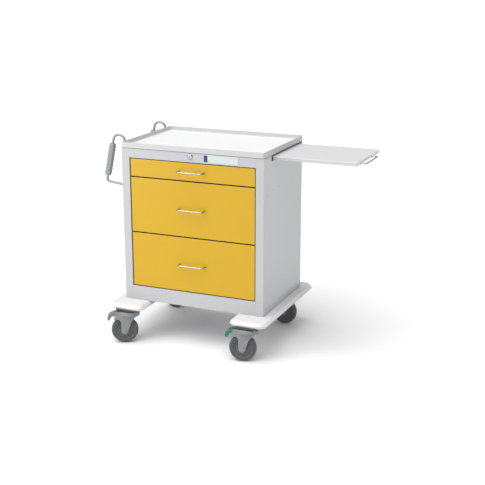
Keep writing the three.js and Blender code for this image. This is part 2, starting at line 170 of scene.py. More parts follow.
def tintDriftGroup():
    # slow changes of shade over a surface, with small cloudy ones over them
    group, given, made = shaderGroup("tintDrift", [
        ("Color", colour, (1, 1, 1, 1)), ("Amount", number, 0.03), ("Scale", number, 7.0),
    ], [("Color", colour), ("Shade", number)])
    place = objectPlace(group)
    slow = noiseAt(group, place, given.outputs["Scale"], 2.0)
    quick = noiseAt(group, place, maths(group, "MULTIPLY", given.outputs["Scale"], 11.0), 4.0)
    shade = maths(group, "ADD", maths(group, "MULTIPLY", slow, 0.7), maths(group, "MULTIPLY", quick, 0.3))
    swing = maths(group, "MULTIPLY", maths(group, "SUBTRACT", shade, 0.5), given.outputs["Amount"])
    hsv = group.nodes.new("ShaderNodeHueSaturation")
    feed(group, hsv.inputs["Color"], given.outputs["Color"])
    feed(group, hsv.inputs["Value"], maths(group, "ADD", maths(group, "MULTIPLY", swing, 4.0), 1.0))
    feed(group, made.inputs["Color"], hsv.outputs["Color"])
    feed(group, made.inputs["Shade"], shade)
    return group


def edgeRubGroup():
    # handled edges: the corners that a wide bevel would round off, broken up by noise
    group, given, made = shaderGroup("edgeRub", [
        ("Color", colour, (1, 1, 1, 1)), ("Rubbed", colour, (1, 1, 1, 1)),
        ("Width", number, 0.0012), ("Amount", number, 0.3), ("Scale", number, 90.0),
    ], [("Color", colour), ("Mask", number)])
    bevel = group.nodes.new("ShaderNodeBevel")
    bevel.samples = 4
    feed(group, bevel.inputs["Radius"], given.outputs["Width"])
    facing = group.nodes.new("ShaderNodeVectorMath")
    facing.operation = "DOT_PRODUCT"
    feed(group, facing.inputs[0], bevel.outputs[0])
    feed(group, facing.inputs[1], group.nodes.new("ShaderNodeNewGeometry").outputs["Normal"])
    corner = remap(group, facing.outputs["Value"], 0.995, 0.85)
    patch = remap(group, noiseAt(group, objectPlace(group), given.outputs["Scale"], 5.0), 0.48, 0.66)
    worn = maths(group, "MULTIPLY", corner, patch)
    mask = maths(group, "MULTIPLY", worn, given.outputs["Amount"], clamp=True)
    feed(group, made.inputs["Color"], mixColors(group, mask, given.outputs["Color"], given.outputs["Rubbed"]))
    feed(group, made.inputs["Mask"], mask)
    return group


def floorDustGroup():
    # dust on what faces up, and a little on what is close to the floor
    group, given, made = shaderGroup("floorDust", [
        ("Color", colour, (1, 1, 1, 1)), ("Dust", colour, (0.5, 0.48, 0.45, 1)),
        ("Amount", number, 0.15), ("Reach", number, 0.12),
    ], [("Color", colour), ("Mask", number)])
    parts = group.nodes.new("ShaderNodeSeparateXYZ")
    feed(group, parts.inputs[0], group.nodes.new("ShaderNodeNewGeometry").outputs["Normal"])
    up = remap(group, parts.outputs["Z"], 0.3, 1.0)
    place = objectPlace(group)
    heights = group.nodes.new("ShaderNodeSeparateXYZ")
    feed(group, heights.inputs[0], place)
    low = remap(group, heights.outputs["Z"], given.outputs["Reach"], 0.0)
    patch = remap(group, noiseAt(group, place, 60.0, 6.0), 0.35, 0.75)
    both = maths(group, "ADD", up, maths(group, "MULTIPLY", low, 0.5), clamp=True)
    settled = maths(group, "MULTIPLY", both, patch)
    mask = maths(group, "MULTIPLY", settled, given.outputs["Amount"], clamp=True)
    feed(group, made.inputs["Color"], mixColors(group, mask, given.outputs["Color"], given.outputs["Dust"]))
    feed(group, made.inputs["Mask"], mask)
    return group


def brushMarksGroup():
    # drawn or plated steel: fine lines along one way
    group, given, made = shaderGroup("brushMarks", [
        ("Scale", number, 300.0), ("Stretch", arrow, (1.0, 0.03, 1.0)),
    ], [("Height", number), ("Shade", number)])
    mapping = group.nodes.new("ShaderNodeMapping")
    feed(group, mapping.inputs["Vector"], objectPlace(group))
    feed(group, mapping.inputs["Scale"], given.outputs["Stretch"])
    lines = noiseAt(group, mapping.outputs[0], given.outputs["Scale"], 4.0)
    feed(group, made.inputs["Height"], lines)
    feed(group, made.inputs["Shade"], remap(group, lines, 0.3, 0.7))
    return group


def wipeMarksGroup():
    # faint long marks from wiping down: two crossed sets of stretched noise, cut to thin lines
    group, given, made = shaderGroup("wipeMarks", [
        ("Scale", number, 40.0), ("Amount", number, 0.3),
    ], [("Mask", number)])
    place = objectPlace(group)
    sets = []
    for turn, stretch in ((0.5, (1.0, 12.0, 1.0)), (-0.9, (14.0, 1.0, 1.0))):
        mapping = group.nodes.new("ShaderNodeMapping")
        feed(group, mapping.inputs["Vector"], place)
        mapping.inputs["Rotation"].default_value = (0.0, 0.0, turn)
        mapping.inputs["Scale"].default_value = stretch
        band = noiseAt(group, mapping.outputs[0], given.outputs["Scale"], 2.0)
        sets.append(remap(group, maths(group, "ABSOLUTE", maths(group, "SUBTRACT", band, 0.5)), 0.012, 0.0))
    mask = maths(group, "MULTIPLY", maths(group, "MAXIMUM", *sets), given.outputs["Amount"], clamp=True)
    feed(group, made.inputs["Mask"], mask)
    return group


groups = {
    "orangePeel": orangePeelGroup(),
    "pebble": pebbleGroup(),
    "tintDrift": tintDriftGroup(),
    "edgeRub": edgeRubGroup(),
    "floorDust": floorDustGroup(),
    "brushMarks": brushMarksGroup(),
    "wipeMarks": wipeMarksGroup(),
}
print("shader groups:", len(groups))


# Finishes. "skin" is the fine surface, "bump" its height in metres, and the rest are shares from 0 to 1.
finishLooks = {
    "greyPaint": {"color": (185, 186, 189), "rough": 0.38, "coat": 0.25, "skin": "orangePeel", "scale": 420,
                  "bump": 0.00004, "drift": 0.012, "rub": 0.25, "rubbed": (226, 228, 232), "wipe": 0.10},
    "yellowPaint": {"color": (204, 162, 2), "rough": 0.42, "coat": 0.08, "skin": "orangePeel", "scale": 420,
                    "bump": 0.00004, "drift": 0.014, "rub": 0.25, "rubbed": (232, 194, 80), "wipe": 0.10},
    "trayPaint": {"color": (206, 207, 210), "rough": 0.45, "skin": "orangePeel", "scale": 500,
                  "bump": 0.00003, "drift": 0.02, "rub": 0.3, "rubbed": (170, 172, 176), "wipe": 0.25},
    # painted light: the tray's plastic in its lit tone, for the sheet over the tray floor
    "sheetWhite": {"color": (236, 236, 237), "rough": 0.4, "skin": "pebble", "scale": 850,
                   "bump": 0.00004, "drift": 0.008, "wipe": 0.12},
    # painted shade: near black for the band that stands in for the shadow in the gaps round the drawer faces
    "sealDark": {"color": (18, 17, 16), "rough": 0.85, "skin": "pebble", "scale": 1000,
                 "bump": 0.00005, "drift": 0.03},
    "lockChrome": {"color": (176, 177, 180), "rough": 0.22, "metal": 1.0, "skin": "brushMarks", "scale": 420,
                   "stretch": (1.0, 0.1, 1.0), "bump": 0.000008, "drift": 0.03},
    # painted shade: the tray's plastic darkened to the tone of its shaded lips
    "trayPlastic": {"color": (196, 196, 197), "rough": 0.42, "skin": "pebble", "scale": 850,
                    "bump": 0.00005, "drift": 0.008, "rub": 0.15, "rubbed": (186, 185, 183), "wipe": 0.12},
    "railPlastic": {"color": (221, 220, 221), "rough": 0.48, "skin": "pebble", "scale": 700,
                    "bump": 0.00006, "drift": 0.012, "rub": 0.35, "rubbed": (205, 201, 195), "dust": 0.06},
    "shelfPlastic": {"color": (209, 209, 211), "rough": 0.45, "skin": "pebble", "scale": 850,
                     "bump": 0.00005, "drift": 0.01, "rub": 0.2, "rubbed": (198, 198, 200), "wipe": 0.15},
    "zincSteel": {"color": (186, 190, 196), "rough": 0.34, "metal": 1.0, "skin": "brushMarks", "scale": 260,
                  "stretch": (1.0, 0.03, 1.0), "bump": 0.00002, "drift": 0.04, "rub": 0.2,
                  "rubbed": (214, 216, 220)},
    "chromeWire": {"color": (182, 177, 164), "rough": 0.2, "metal": 1.0, "skin": "brushMarks", "scale": 420,
                   "stretch": (0.05, 1.0, 1.0), "bump": 0.000006, "drift": 0.02},
    "handleRod": {"color": (150, 152, 155), "rough": 0.36, "metal": 0.55, "skin": "orangePeel", "scale": 600,
                  "bump": 0.00003, "drift": 0.03, "rub": 0.2, "rubbed": (180, 182, 185)},
    "gripRubber": {"color": (148, 150, 153), "rough": 0.62, "skin": "pebble", "scale": 1100,
                   "bump": 0.00012, "drift": 0.03, "rub": 0.3, "rubbed": (172, 173, 175)},
    "castorSteel": {"color": (92, 94, 98), "rough": 0.4, "metal": 0.9, "skin": "brushMarks", "scale": 220,
                    "stretch": (1.0, 1.0, 0.1), "bump": 0.00002, "drift": 0.05, "dust": 0.2},
    "castorGrey": {"color": (134, 135, 138), "rough": 0.5, "skin": "pebble", "scale": 800,
                   "bump": 0.00008, "drift": 0.02, "rub": 0.3, "rubbed": (166, 167, 170), "dust": 0.15},
    "wheelGrey": {"color": (98, 99, 102), "rough": 0.52, "skin": "pebble", "scale": 900,
                  "bump": 0.00006, "drift": 0.02, "rub": 0.25, "rubbed": (128, 129, 132), "dust": 0.12},
    "tyreGrey": {"color": (87, 88, 90), "rough": 0.72, "skin": "pebble", "scale": 1300,
                 "bump": 0.0001, "drift": 0.03, "dust": 0.18},
    "pedalGrey": {"color": (120, 121, 125), "rough": 0.5, "skin": "pebble", "scale": 800,
                  "bump": 0.00008, "drift": 0.02, "rub": 0.4, "rubbed": (158, 159, 162), "dust": 0.15},
    "pedalGreen": {"color": (24, 116, 88), "rough": 0.42, "skin": "pebble", "scale": 800,
                   "bump": 0.00006, "drift": 0.02, "rub": 0.4, "rubbed": (92, 168, 142), "dust": 0.08},
    "plateWhite": {"color": (204, 211, 213), "rough": 0.34, "coat": 0.2, "skin": "orangePeel", "scale": 700,
                   "bump": 0.00001, "drift": 0.01},
    "plateBlue": {"color": (30, 54, 116), "rough": 0.34, "coat": 0.2, "skin": "orangePeel", "scale": 700,
                  "bump": 0.00001, "drift": 0.02},
    # painted shade: a dark plate deep in the keyway stands in for the shade inside the keyhole
    "keyholeDark": {"color": (46, 47, 50), "rough": 0.5, "metal": 0.8, "skin": "brushMarks", "scale": 500,
                    "stretch": (1.0, 0.1, 1.0), "bump": 0.00001, "drift": 0.05},
}


def buildFinish(name, look):
    material = bpy.data.materials.new(name)
    material.use_nodes = True
    tree = material.node_tree
    tree.nodes.clear()
    shader = tree.nodes.new("ShaderNodeBsdfPrincipled")
    output = tree.nodes.new("ShaderNodeOutputMaterial")
    tree.links.new(shader.outputs[0], output.inputs["Surface"])

    def effect(kind, values):
        node = tree.nodes.new("ShaderNodeGroup")
        node.node_tree = groups[kind]
        for label, value in values.items():
            feed(tree, node.inputs[label], value)
        return node

    drift = effect("tintDrift", {"Color": (*linear(*look["color"]), 1), "Amount": look["drift"]})
    color = drift.outputs["Color"]
    uneven = maths(tree, "MULTIPLY", drift.outputs["Shade"], 0.08)
    roughness = maths(tree, "ADD", uneven, look["rough"] - 0.04)
    if "wipe" in look:
        marks = effect("wipeMarks", {"Amount": look["wipe"]})
        roughness = maths(tree, "ADD", roughness, marks.outputs["Mask"])
    if "rub" in look:
        rubbed = (*linear(*look["rubbed"]), 1)
        rub = effect("edgeRub", {"Color": color, "Rubbed": rubbed, "Amount": look["rub"]})
        color = rub.outputs["Color"]
        roughness = maths(tree, "ADD", roughness, maths(tree, "MULTIPLY", rub.outputs["Mask"], 0.15))
    if "dust" in look:
        dust = effect("floorDust", {"Color": color, "Amount": look["dust"]})
        color = dust.outputs["Color"]
        roughness = maths(tree, "ADD", roughness, maths(tree, "MULTIPLY", dust.outputs["Mask"], 0.4))
    skinValues = {"Scale": look["scale"]}
    if "stretch" in look:
        skinValues["Stretch"] = look["stretch"]
    skin = effect(look["skin"], skinValues)
    if look["skin"] == "brushMarks":
        roughness = maths(tree, "ADD", roughness, maths(tree, "MULTIPLY", skin.outputs["Shade"], 0.08))
    bump = tree.nodes.new("ShaderNodeBump")
    bump.inputs["Strength"].default_value = 1.0
    bump.inputs["Distance"].default_value = look["bump"]
    feed(tree, bump.inputs["Height"], skin.outputs["Height"])
    feed(tree, shader.inputs["Normal"], bump.outputs[0])
    feed(tree, shader.inputs["Base Color"], color)
    feed(tree, shader.inputs["Roughness"], roughness)
    shader.inputs["Metallic"].default_value = look.get("metal", 0.0)
    shader.inputs["Coat Weight"].default_value = look.get("coat", 0.0)
    shader.inputs["Coat Roughness"].default_value = 0.12
    return material


finishes = {name: buildFinish(name, look) for name, look in finishLooks.items()}
print("finishes:", len(finishes))


# Shape helpers. Plan points are (u, v), and "facing" says which way the third number runs.
def spot(u, v, h, facing):
    return {"Z": Vector((u, v, h)), "Y": Vector((u, h, v)), "X": Vector((h, u, v))}[facing]


def roundedRing(low, high, radii, inset=0.0, height=0.0, facing="Z", steps=6):
    # anticlockwise from the corner at high u, low v
    corners = [(high[0], low[1], 1, -1), (high[0], high[1], 1, 1),
               (low[0], high[1], -1, 1), (low[0], low[1], -1, -1)]
    ring = []
    for i, (u, v, alongU, alongV) in enumerate(corners):
        radius = max(radii[i] - inset, 0.15)
        for step in range(steps + 1):
            angle = math.radians(-90 + 90 * i + 90 * step / steps)
            ring.append(spot(u - alongU * (inset + radius) + radius * math.cos(angle),
                             v - alongV * (inset + radius) + radius * math.sin(angle), height, facing))
    return ring


def loft(bm, rings, startCap=True, endCap=True):
    rows = [[bm.verts.new(point) for point in ring] for ring in rings]
    count = len(rows[0])
    for first, second in zip(rows, rows[1:]):
        for i in range(count):
            j = (i + 1) % count
            bm.faces.new((first[i], first[j], second[j], second[i]))
    if startCap:
        bm.faces.new(rows[0][::-1])
    if endCap:
        bm.faces.new(rows[-1])


def roundedProfile(start, corner, end, radius, steps=4):
    # the arc that rounds one corner of a profile of (inset, height) points
    a, c, b = Vector(start), Vector(corner), Vector(end)
    toA, toB = (a - c).normalized(), (b - c).normalized()
    half = toA.angle(toB) / 2
    middle = c + (toA + toB).normalized() * radius / math.sin(half)
    first = c + toA * radius / math.tan(half)
    last = c + toB * radius / math.tan(half)
    points = []
    for step in range(steps + 1):
        way = (first - middle).slerp(last - middle, step / steps)
        points.append(tuple(middle + way))
    return points


def softProfile(points, radii, steps=4):
    # a profile with its inner corners rounded; a radius of 0 leaves a corner sharp
    made = [points[0]]
    for before, here, after, radius in zip(points, points[1:], points[2:], radii):
        made += roundedProfile(before, here, after, radius, steps) if radius else [here]
    return made + [points[-1]]


def stack(bm, low, high, radii, profile, facing="Z", steps=6):
    # a rounded outline between two plan corners for each (inset, height) of the profile
    loft(bm, [roundedRing(low, high, radii, inset, h, facing, steps) for inset, h in profile])


def extrude(bm, outline, low, high, facing="Y"):
    loft(bm, [[spot(u, v, h, facing) for u, v in outline] for h in (low, high)])


def block(bm, low, high):
    plan = [(low[0], low[1]), (high[0], low[1]), (high[0], high[1]), (low[0], high[1])]
    extrude(bm, plan, low[2], high[2], "Z")


def lathe(bm, profile, place, axis="Y", steps=48, loop=False):
    # profile points are (radius, distance along the axis); a radius of 0 makes a closed pole
    rows = []
    for radius, along in profile:
        row = []
        for i in range(steps if radius > 1e-6 else 1):
            angle = 2 * math.pi * i / steps
            across = (radius * math.cos(angle), radius * math.sin(angle))
            row.append(bm.verts.new(Vector(place) + spot(across[0], across[1], along, axis)))
        rows.append(row)
    pairs = list(zip(rows, rows[1:])) + ([(rows[-1], rows[0])] if loop else [])
    for first, second in pairs:
        for i in range(steps):
            j = (i + 1) % steps
            corners = [first[i % len(first)], first[j % len(first)]]
            corners += [second[j % len(second)], second[i % len(second)]]
            corners = list(dict.fromkeys(corners))
            if len(corners) > 2:
                bm.faces.new(corners)


def arc(centre, radius, start, end, steps=8):
    angles = [math.radians(start + (end - start) * i / steps) for i in range(steps + 1)]
    return [(centre[0] + radius * math.cos(a), centre[1] + radius * math.sin(a)) for a in angles]


def sweep(start, pull, end, steps=8):
    # a curve from start to end, drawn toward pull
    a, b, c = Vector(start), Vector(pull), Vector(end)
    return [tuple(a.lerp(b, i / steps).lerp(b.lerp(c, i / steps), i / steps)) for i in range(steps + 1)]


def bakeModifiers(obj):
    evaluated = obj.evaluated_get(bpy.context.evaluated_depsgraph_get())
    mesh = bpy.data.meshes.new_from_object(evaluated)
    mesh.name = obj.name
    obj.modifiers.clear()
    obj.data = mesh


def objectFrom(name, bm, merge=0.002):
    bmesh.ops.remove_doubles(bm, verts=bm.verts, dist=merge)
    bmesh.ops.recalc_face_normals(bm, faces=bm.faces)
    bm.transform(toRow)
    mesh = bpy.data.meshes.new(name)
    bm.to_mesh(mesh)
    bm.free()
    obj = bpy.data.objects.new(name, mesh)
    scene.collection.objects.link(obj)
    return obj


def roundEdges(obj, width, segments=3, byWeight=False):
    modifier = obj.modifiers.new("edges", "BEVEL")
    modifier.width = width * mm
    modifier.segments = segments
    modifier.limit_method = "WEIGHT" if byWeight else "ANGLE"
    modifier.angle_limit = math.radians(35)
    modifier.use_clamp_overlap = True
    bakeModifiers(obj)


def shade(obj, angle=38):
    obj.data.shade_smooth()
    obj.data.set_sharp_from_angle(angle=math.radians(angle))
    modifier = obj.modifiers.new("normals", "WEIGHTED_NORMAL")
    modifier.keep_sharp = True
    bakeModifiers(obj)


def putOn(obj, finish, body, standsFor=()):
    obj.data.materials.clear()
    obj.data.materials.append(finishes[finish])
    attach(obj, body)
    if standsFor:
        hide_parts(*standsFor)
    return obj


def finished(name, bm, finish, body, standsFor=(), edge=0, segments=2, angle=38):
    # a drawn shape as a finished piece, with its edges rounded first where an edge is given
    obj = objectFrom(name, bm)
    if edge:
        roundEdges(obj, edge, segments)
    shade(obj, angle)
    return putOn(obj, finish, body, standsFor)


def cutAway(obj, cutter):
    modifier = obj.modifiers.new("cut", "BOOLEAN")
    modifier.operation = "DIFFERENCE"
    modifier.solver = "EXACT"
    modifier.object = cutter
    bakeModifiers(obj)
    bpy.data.objects.remove(cutter)


def cadCopy(name, node):
    # the CAD solid as clean flat faces
    mesh = frame["nodes"][node].data.copy()
    bm = bmesh.new()
    bm.from_mesh(mesh)
    bmesh.ops.remove_doubles(bm, verts=bm.verts, dist=0.002 * mm)
    bmesh.ops.dissolve_limit(bm, angle_limit=math.radians(0.5), verts=bm.verts, edges=bm.edges)
    bm.to_mesh(mesh)
    bm.free()
    mesh.name = name
    for attribute in [a.name for a in mesh.attributes if a.name == "custom_normal"]:
        mesh.attributes.remove(mesh.attributes[attribute])
    obj = bpy.data.objects.new(name, mesh)
    scene.collection.objects.link(obj)
    return obj


def carryOver(node, finish, edge):
    obj = cadCopy(f"{node}_piece", node)
    roundEdges(obj, edge, 2)
    shade(obj)
    return putOn(obj, finish, bodyOf[node], [node])


# Geometry Nodes: a bent wire along a path, and small hardware set on points.
def nodeTree(name, inputs):
    tree = bpy.data.node_groups.new(name, "GeometryNodeTree")
    tree.interface.new_socket("Geometry", in_out="INPUT", socket_type="NodeSocketGeometry")
    for label, kind in inputs:
        tree.interface.new_socket(label, in_out="INPUT", socket_type=kind)
    tree.interface.new_socket("Geometry", in_out="OUTPUT", socket_type="NodeSocketGeometry")
    return tree, tree.nodes.new("NodeGroupInput"), tree.nodes.new("NodeGroupOutput")


def finishTree(tree, geometry, given, result):
    realize = tree.nodes.new("GeometryNodeRealizeInstances")
    setMaterial = tree.nodes.new("GeometryNodeSetMaterial")
    tree.links.new(geometry, realize.inputs[0])
    tree.links.new(realize.outputs[0], setMaterial.inputs["Geometry"])
    tree.links.new(given.outputs["Material"], setMaterial.inputs["Material"])
    tree.links.new(setMaterial.outputs[0], result.inputs[0])


def namedValue(tree, name, kind):
    node = tree.nodes.new("GeometryNodeInputNamedAttribute")
    node.data_type = kind
    node.inputs["Name"].default_value = name
    return node.outputs["Attribute"]


def bentWireTree():
    tree, given, result = nodeTree("bentWire", [
        ("Wire Radius", "NodeSocketFloat"), ("Sides", "NodeSocketInt"), ("Bend Steps", "NodeSocketInt"),
        ("Material", "NodeSocketMaterial"),
    ])
    line = tree.nodes.new("GeometryNodeMeshToCurve")
    fillet = tree.nodes.new("GeometryNodeFilletCurve")
    fillet.mode = "POLY"
    section = tree.nodes.new("GeometryNodeCurvePrimitiveCircle")
    skin = tree.nodes.new("GeometryNodeCurveToMesh")
    skin.inputs["Fill Caps"].default_value = True
    tree.links.new(given.outputs["Geometry"], line.inputs[0])
    tree.links.new(line.outputs[0], fillet.inputs["Curve"])
    tree.links.new(given.outputs["Bend Steps"], fillet.inputs["Count"])
    tree.links.new(namedValue(tree, "bend", "FLOAT"), fillet.inputs["Radius"])
    tree.links.new(given.outputs["Sides"], section.inputs["Resolution"])
    tree.links.new(given.outputs["Wire Radius"], section.inputs["Radius"])
    tree.links.new(fillet.outputs[0], skin.inputs["Curve"])
    tree.links.new(section.outputs[0], skin.inputs["Profile Curve"])
    finishTree(tree, skin.outputs[0], given, result)
    return tree


def hardwareTree():
    tree, given, result = nodeTree("hardwareOnPoints", [
        ("Part", "NodeSocketObject"), ("Size", "NodeSocketFloat"), ("Spin", "NodeSocketFloat"),
        ("Seed", "NodeSocketInt"), ("Material", "NodeSocketMaterial"),
    ])
    part = tree.nodes.new("GeometryNodeObjectInfo")
    tree.links.new(given.outputs["Part"], part.inputs["Object"])
    align = tree.nodes.new("FunctionNodeAlignRotationToVector")
    align.axis = "Z"
    tree.links.new(namedValue(tree, "facing", "FLOAT_VECTOR"), align.inputs["Vector"])
    chance = tree.nodes.new("FunctionNodeRandomValue")
    chance.data_type = "FLOAT"
    tree.links.new(given.outputs["Seed"], chance.inputs["Seed"])
    spin = tree.nodes.new("ShaderNodeMath")
    spin.operation = "MULTIPLY"
    tree.links.new([s for s in chance.outputs if s.enabled][0], spin.inputs[0])
    tree.links.new(given.outputs["Spin"], spin.inputs[1])
    about = tree.nodes.new("FunctionNodeAxisAngleToRotation")
    tree.links.new(spin.outputs[0], about.inputs["Angle"])
    turned = tree.nodes.new("FunctionNodeRotateRotation")
    turned.rotation_space = "LOCAL"
    tree.links.new(align.outputs[0], turned.inputs["Rotation"])
    tree.links.new(about.outputs[0], turned.inputs["Rotate By"])
    place = tree.nodes.new("GeometryNodeInstanceOnPoints")
    tree.links.new(given.outputs["Geometry"], place.inputs["Points"])
    tree.links.new(part.outputs["Geometry"], place.inputs["Instance"])
    tree.links.new(turned.outputs[0], place.inputs["Rotation"])
    tree.links.new(given.outputs["Size"], place.inputs["Scale"])
    finishTree(tree, place.outputs[0], given, result)
    return tree


def runTree(obj, tree, values):
    modifier = obj.modifiers.new(tree.name, "NODES")
    modifier.node_group = tree
    for item in tree.interface.items_tree:
        if item.item_type == "SOCKET" and item.in_out == "INPUT" and item.name in values:
            modifier[item.identifier] = values[item.name]
    bakeModifiers(obj)


bentWire = bentWireTree()
hardwareOnPoints = hardwareTree()
print("geometry trees: bentWire, hardwareOnPoints")


def wire(name, corners, bends, look, finish, body, standsFor=()):
    mesh = bpy.data.meshes.new(name)
    mesh.from_pydata([toRow @ Vector(c) for c in corners], [(i, i + 1) for i in range(len(corners) - 1)], [])
    bend = mesh.attributes.new("bend", "FLOAT", "POINT")
    bend.data.foreach_set("value", [0.0] + [b * mm for b in bends] + [0.0])
    obj = bpy.data.objects.new(name, mesh)
    scene.collection.objects.link(obj)
    runTree(obj, bentWire, {
        "Wire Radius": look["radius"] * mm, "Sides": look["sides"], "Bend Steps": look["bendSteps"],
        "Material": finishes[finish],
    })
    roundEdges(obj, look["tip"], 2)
    shade(obj, 45)
    return putOn(obj, finish, body, standsFor)


hardwareLook = {
    "screwRadius": 4.2, "screwDome": 1.6, "screwKey": 1.5, "plugRadius": 5.2, "plugDome": 1.1,
    "boltRadius": 6.5, "boltHeight": 4.5,
}


def hardwarePart(kind):
    # one piece of hardware standing on the plane z = 0, in millimetres
    bm = bmesh.new()
    look = hardwareLook
    if kind == "plug":
        r, h = look["plugRadius"], look["plugDome"]
        lathe(bm, [(0, h), (r * 0.45, h * 0.94), (r * 0.8, h * 0.7), (r * 0.95, h * 0.4), (r, 0.1),
                   (r, -0.6), (0, -0.6)], (0, 0, 0), "Z", 20)
    elif kind == "screw":
        r, h, key = look["screwRadius"], look["screwDome"], look["screwKey"]
        lathe(bm, [(0, h * 0.35), (key, h * 0.4), (key * 1.05, h), (r * 0.7, h * 0.86), (r * 0.94, h * 0.5),
                   (r, 0.1), (r, -0.6), (0, -0.6)], (0, 0, 0), "Z", 18)
    else:
        r, h = look["boltRadius"], look["boltHeight"]
        lathe(bm, [(0, h), (r * 0.82, h), (r, h * 0.8), (r, 0), (0, 0)], (0, 0, 0), "Z", 6)
        lathe(bm, [(0, 1.0), (r * 1.25, 1.0), (r * 1.25, -0.4), (0, -0.4)], (0, 0, 0), "Z", 20)
    bmesh.ops.recalc_face_normals(bm, faces=bm.faces)
    bmesh.ops.scale(bm, vec=(mm, mm, mm), verts=bm.verts)
    mesh = bpy.data.meshes.new(kind)
    bm.to_mesh(mesh)
    bm.free()
    return bpy.data.objects.new(kind, mesh)


def hardware(name, kind, places, finish, body, size=1.0):
    # places are (point, facing) in cart millimetres
    mesh = bpy.data.meshes.new(name)
    mesh.from_pydata([toRow @ Vector(point) for point, facing in places], [], [])
    facing = mesh.attributes.new("facing", "FLOAT_VECTOR", "POINT")
    facing.data.foreach_set("vector", [along for point, way in places for along in way])
    obj = bpy.data.objects.new(name, mesh)
    scene.collection.objects.link(obj)
    part = hardwarePart(kind)
    runTree(obj, hardwareOnPoints, {
        "Part": part, "Size": size, "Spin": math.tau, "Seed": 7, "Material": finishes[finish],
    })
    bpy.data.objects.remove(part)
    shade(obj, 50)
    return putOn(obj, finish, body)


# Cabinet shell
cabinetLook = {
    "stile": 33.5, "cornerRadius": 1.3, "edge": 0.5, "seamWidth": 0.5, "seamDepth": 0.35, "seamGap": 4,
    "panelEdge": 0.6, "screwInset": 12, "screwEnd": 14, "screwRow": 160, "screwPitch": 150,
}
sidePlugs = [ # (y, z) of the hole plugs on a side
    (103, 761), (144, 667), (101, 664), (40, 651), (319, 661), (398, 570),
    (236, 572), (197, 570), (34.5, 571), (197, 289), (40, 289),
]


def frontFrame():
    look = cabinetLook
    low, high = cartBox("front_frame")
    obj = cadCopy("front_frame_piece", "front_frame")
    baseTop = cartBox("bottom_drawer_front")[0].z - look["seamGap"]
    headerBottom = cartBox("top_drawer_front")[1].z + look["seamGap"]
    half = look["seamWidth"] / 2
    bm = bmesh.new()
    for side in (-1, 1): # the seams where header and base meet the stiles
        x = side * (high.x - look["stile"] + 0.6)
        for z0, z1 in ((low.z - 1, baseTop), (headerBottom, high.z + 1)):
            block(bm, (x - half, low.y - 1, z0), (x + half, low.y + look["seamDepth"], z1))
    cutAway(obj, objectFrom("seams", bm))
    bm = bmesh.new()
    bm.from_mesh(obj.data)
    weight = bm.edges.layers.float.new("bevel_weight_edge")
    for edge in bm.edges:
        if edge.calc_face_angle(0) > math.radians(35):
            ends = [(v.co - cartOrigin) / mm for v in edge.verts]
            outer = all(abs(abs(p.x) - high.x) < 0.1 and p.y < low.y + 0.1 for p in ends)
            edge[weight] = 1.0 if outer else look["edge"] / look["cornerRadius"]
    bm.to_mesh(obj.data)
    bm.free()
    roundEdges(obj, look["cornerRadius"], 3, byWeight=True)
    shade(obj)
    putOn(obj, "greyPaint", "root", ["front_frame"])


def cabinetShell():
    look = cabinetLook
    frontFrame()
    for node in ("left_side_panel", "right_side_panel", "back_panel", "bottom_pan", "cabinet_top_pan"):
        carryOver(node, "greyPaint", look["panelEdge"])
    wall = cartBox("right_side_panel")[1].x
    for hand, side in (("left", -1), ("right", 1)):
        places = [((side * wall, y, z), (side, 0, 0)) for y, z in sidePlugs]
        hardware(f"{hand}_side_plugs", "plug", places, "greyPaint", "root")
    low, high = cartBox("back_panel")
    first, last = low.z + look["screwEnd"], high.z - look["screwEnd"]
    rows = [first, low.z + look["screwRow"], (low.z + high.z) / 2, high.z - look["screwRow"], last]
    spots = [(side * (high.x - look["screwInset"]), z) for side in (-1, 1) for z in rows]
    spots += [(i * look["screwPitch"], z) for i in (-1, 0, 1) for z in (first, last)]
    screws = [((x, high.y, z), (0, 1, 0)) for x, z in spots]
    hardware("back_panel_screws", "screw", screws, "zincSteel", "root")


cabinetShell()
print("cabinet shell done")

# Work tray on top
workTrayLook = {
    "corner": 9, "lip": 2.8, "lipHeight": 21.7, "floorDrop": 15.5, "floorThick": 3.5, "padInset": 12,
    "fillet": 3.5, "sheet": 0.4, "steps": 8,
}


def workTray():
    look = workTrayLook
    lip, pad, corners = look["lip"], look["padInset"], [look["corner"]] * 4
    low, high = cartBox("top_tray")
    lipBottom = high.z - look["lipHeight"]
    floor = high.z - look["floorDrop"]
    under = floor - look["floorThick"]
    bm = bmesh.new()
    stack(bm, low, high, corners, softProfile([
        (pad + 4, low.z), (pad, low.z), (pad, under), (lip, under), (lip, lipBottom), (0, lipBottom),
        (0, high.z), (lip, high.z), (lip + 1.2, floor), (lip + 12, floor),
    ], [0.8, 0, 0, 0.6, 0.8, 1.2, 1.2, look["fillet"]]), steps=look["steps"])
    # the tray in a darker copy of its plastic, painted shade for its lips and inner walls
    finished("work_tray", bm, "trayPlastic", "root", ["top_tray"])
    # a thin white sheet laid over the floor, inside the fillet: a lit copy of the tray's plastic, painted
    # light for the brightly lit floor against the darker tray
    top, margin = floor + look["sheet"], lip + look["fillet"] - 0.6
    sheetLow, sheetHigh = (low.x + margin, low.y + margin), (high.x - margin, high.y - margin)
    profile = softProfile([(6, floor - 0.4), (0, floor - 0.4), (0, top), (6, top)], [0, 0.25], 3)
    bm = bmesh.new()
    stack(bm, sheetLow, sheetHigh, corners, profile, steps=look["steps"])
    finished("work_tray_sheet", bm, "sheetWhite", "root")


workTray()

# Bumper rails
railLook = {
    "outerCorner": 43, "innerCorner": 30, "topRadius": 5.5, "bottomRadius": 4, "grooveFrom": 7.4,
    "grooveWidth": 2.2, "grooveDepth": 0.9, "wall": 25, "pocketEnd": 110, "pocketTop": 6, "pocketCorner": 6,
    "steps": 12,
}


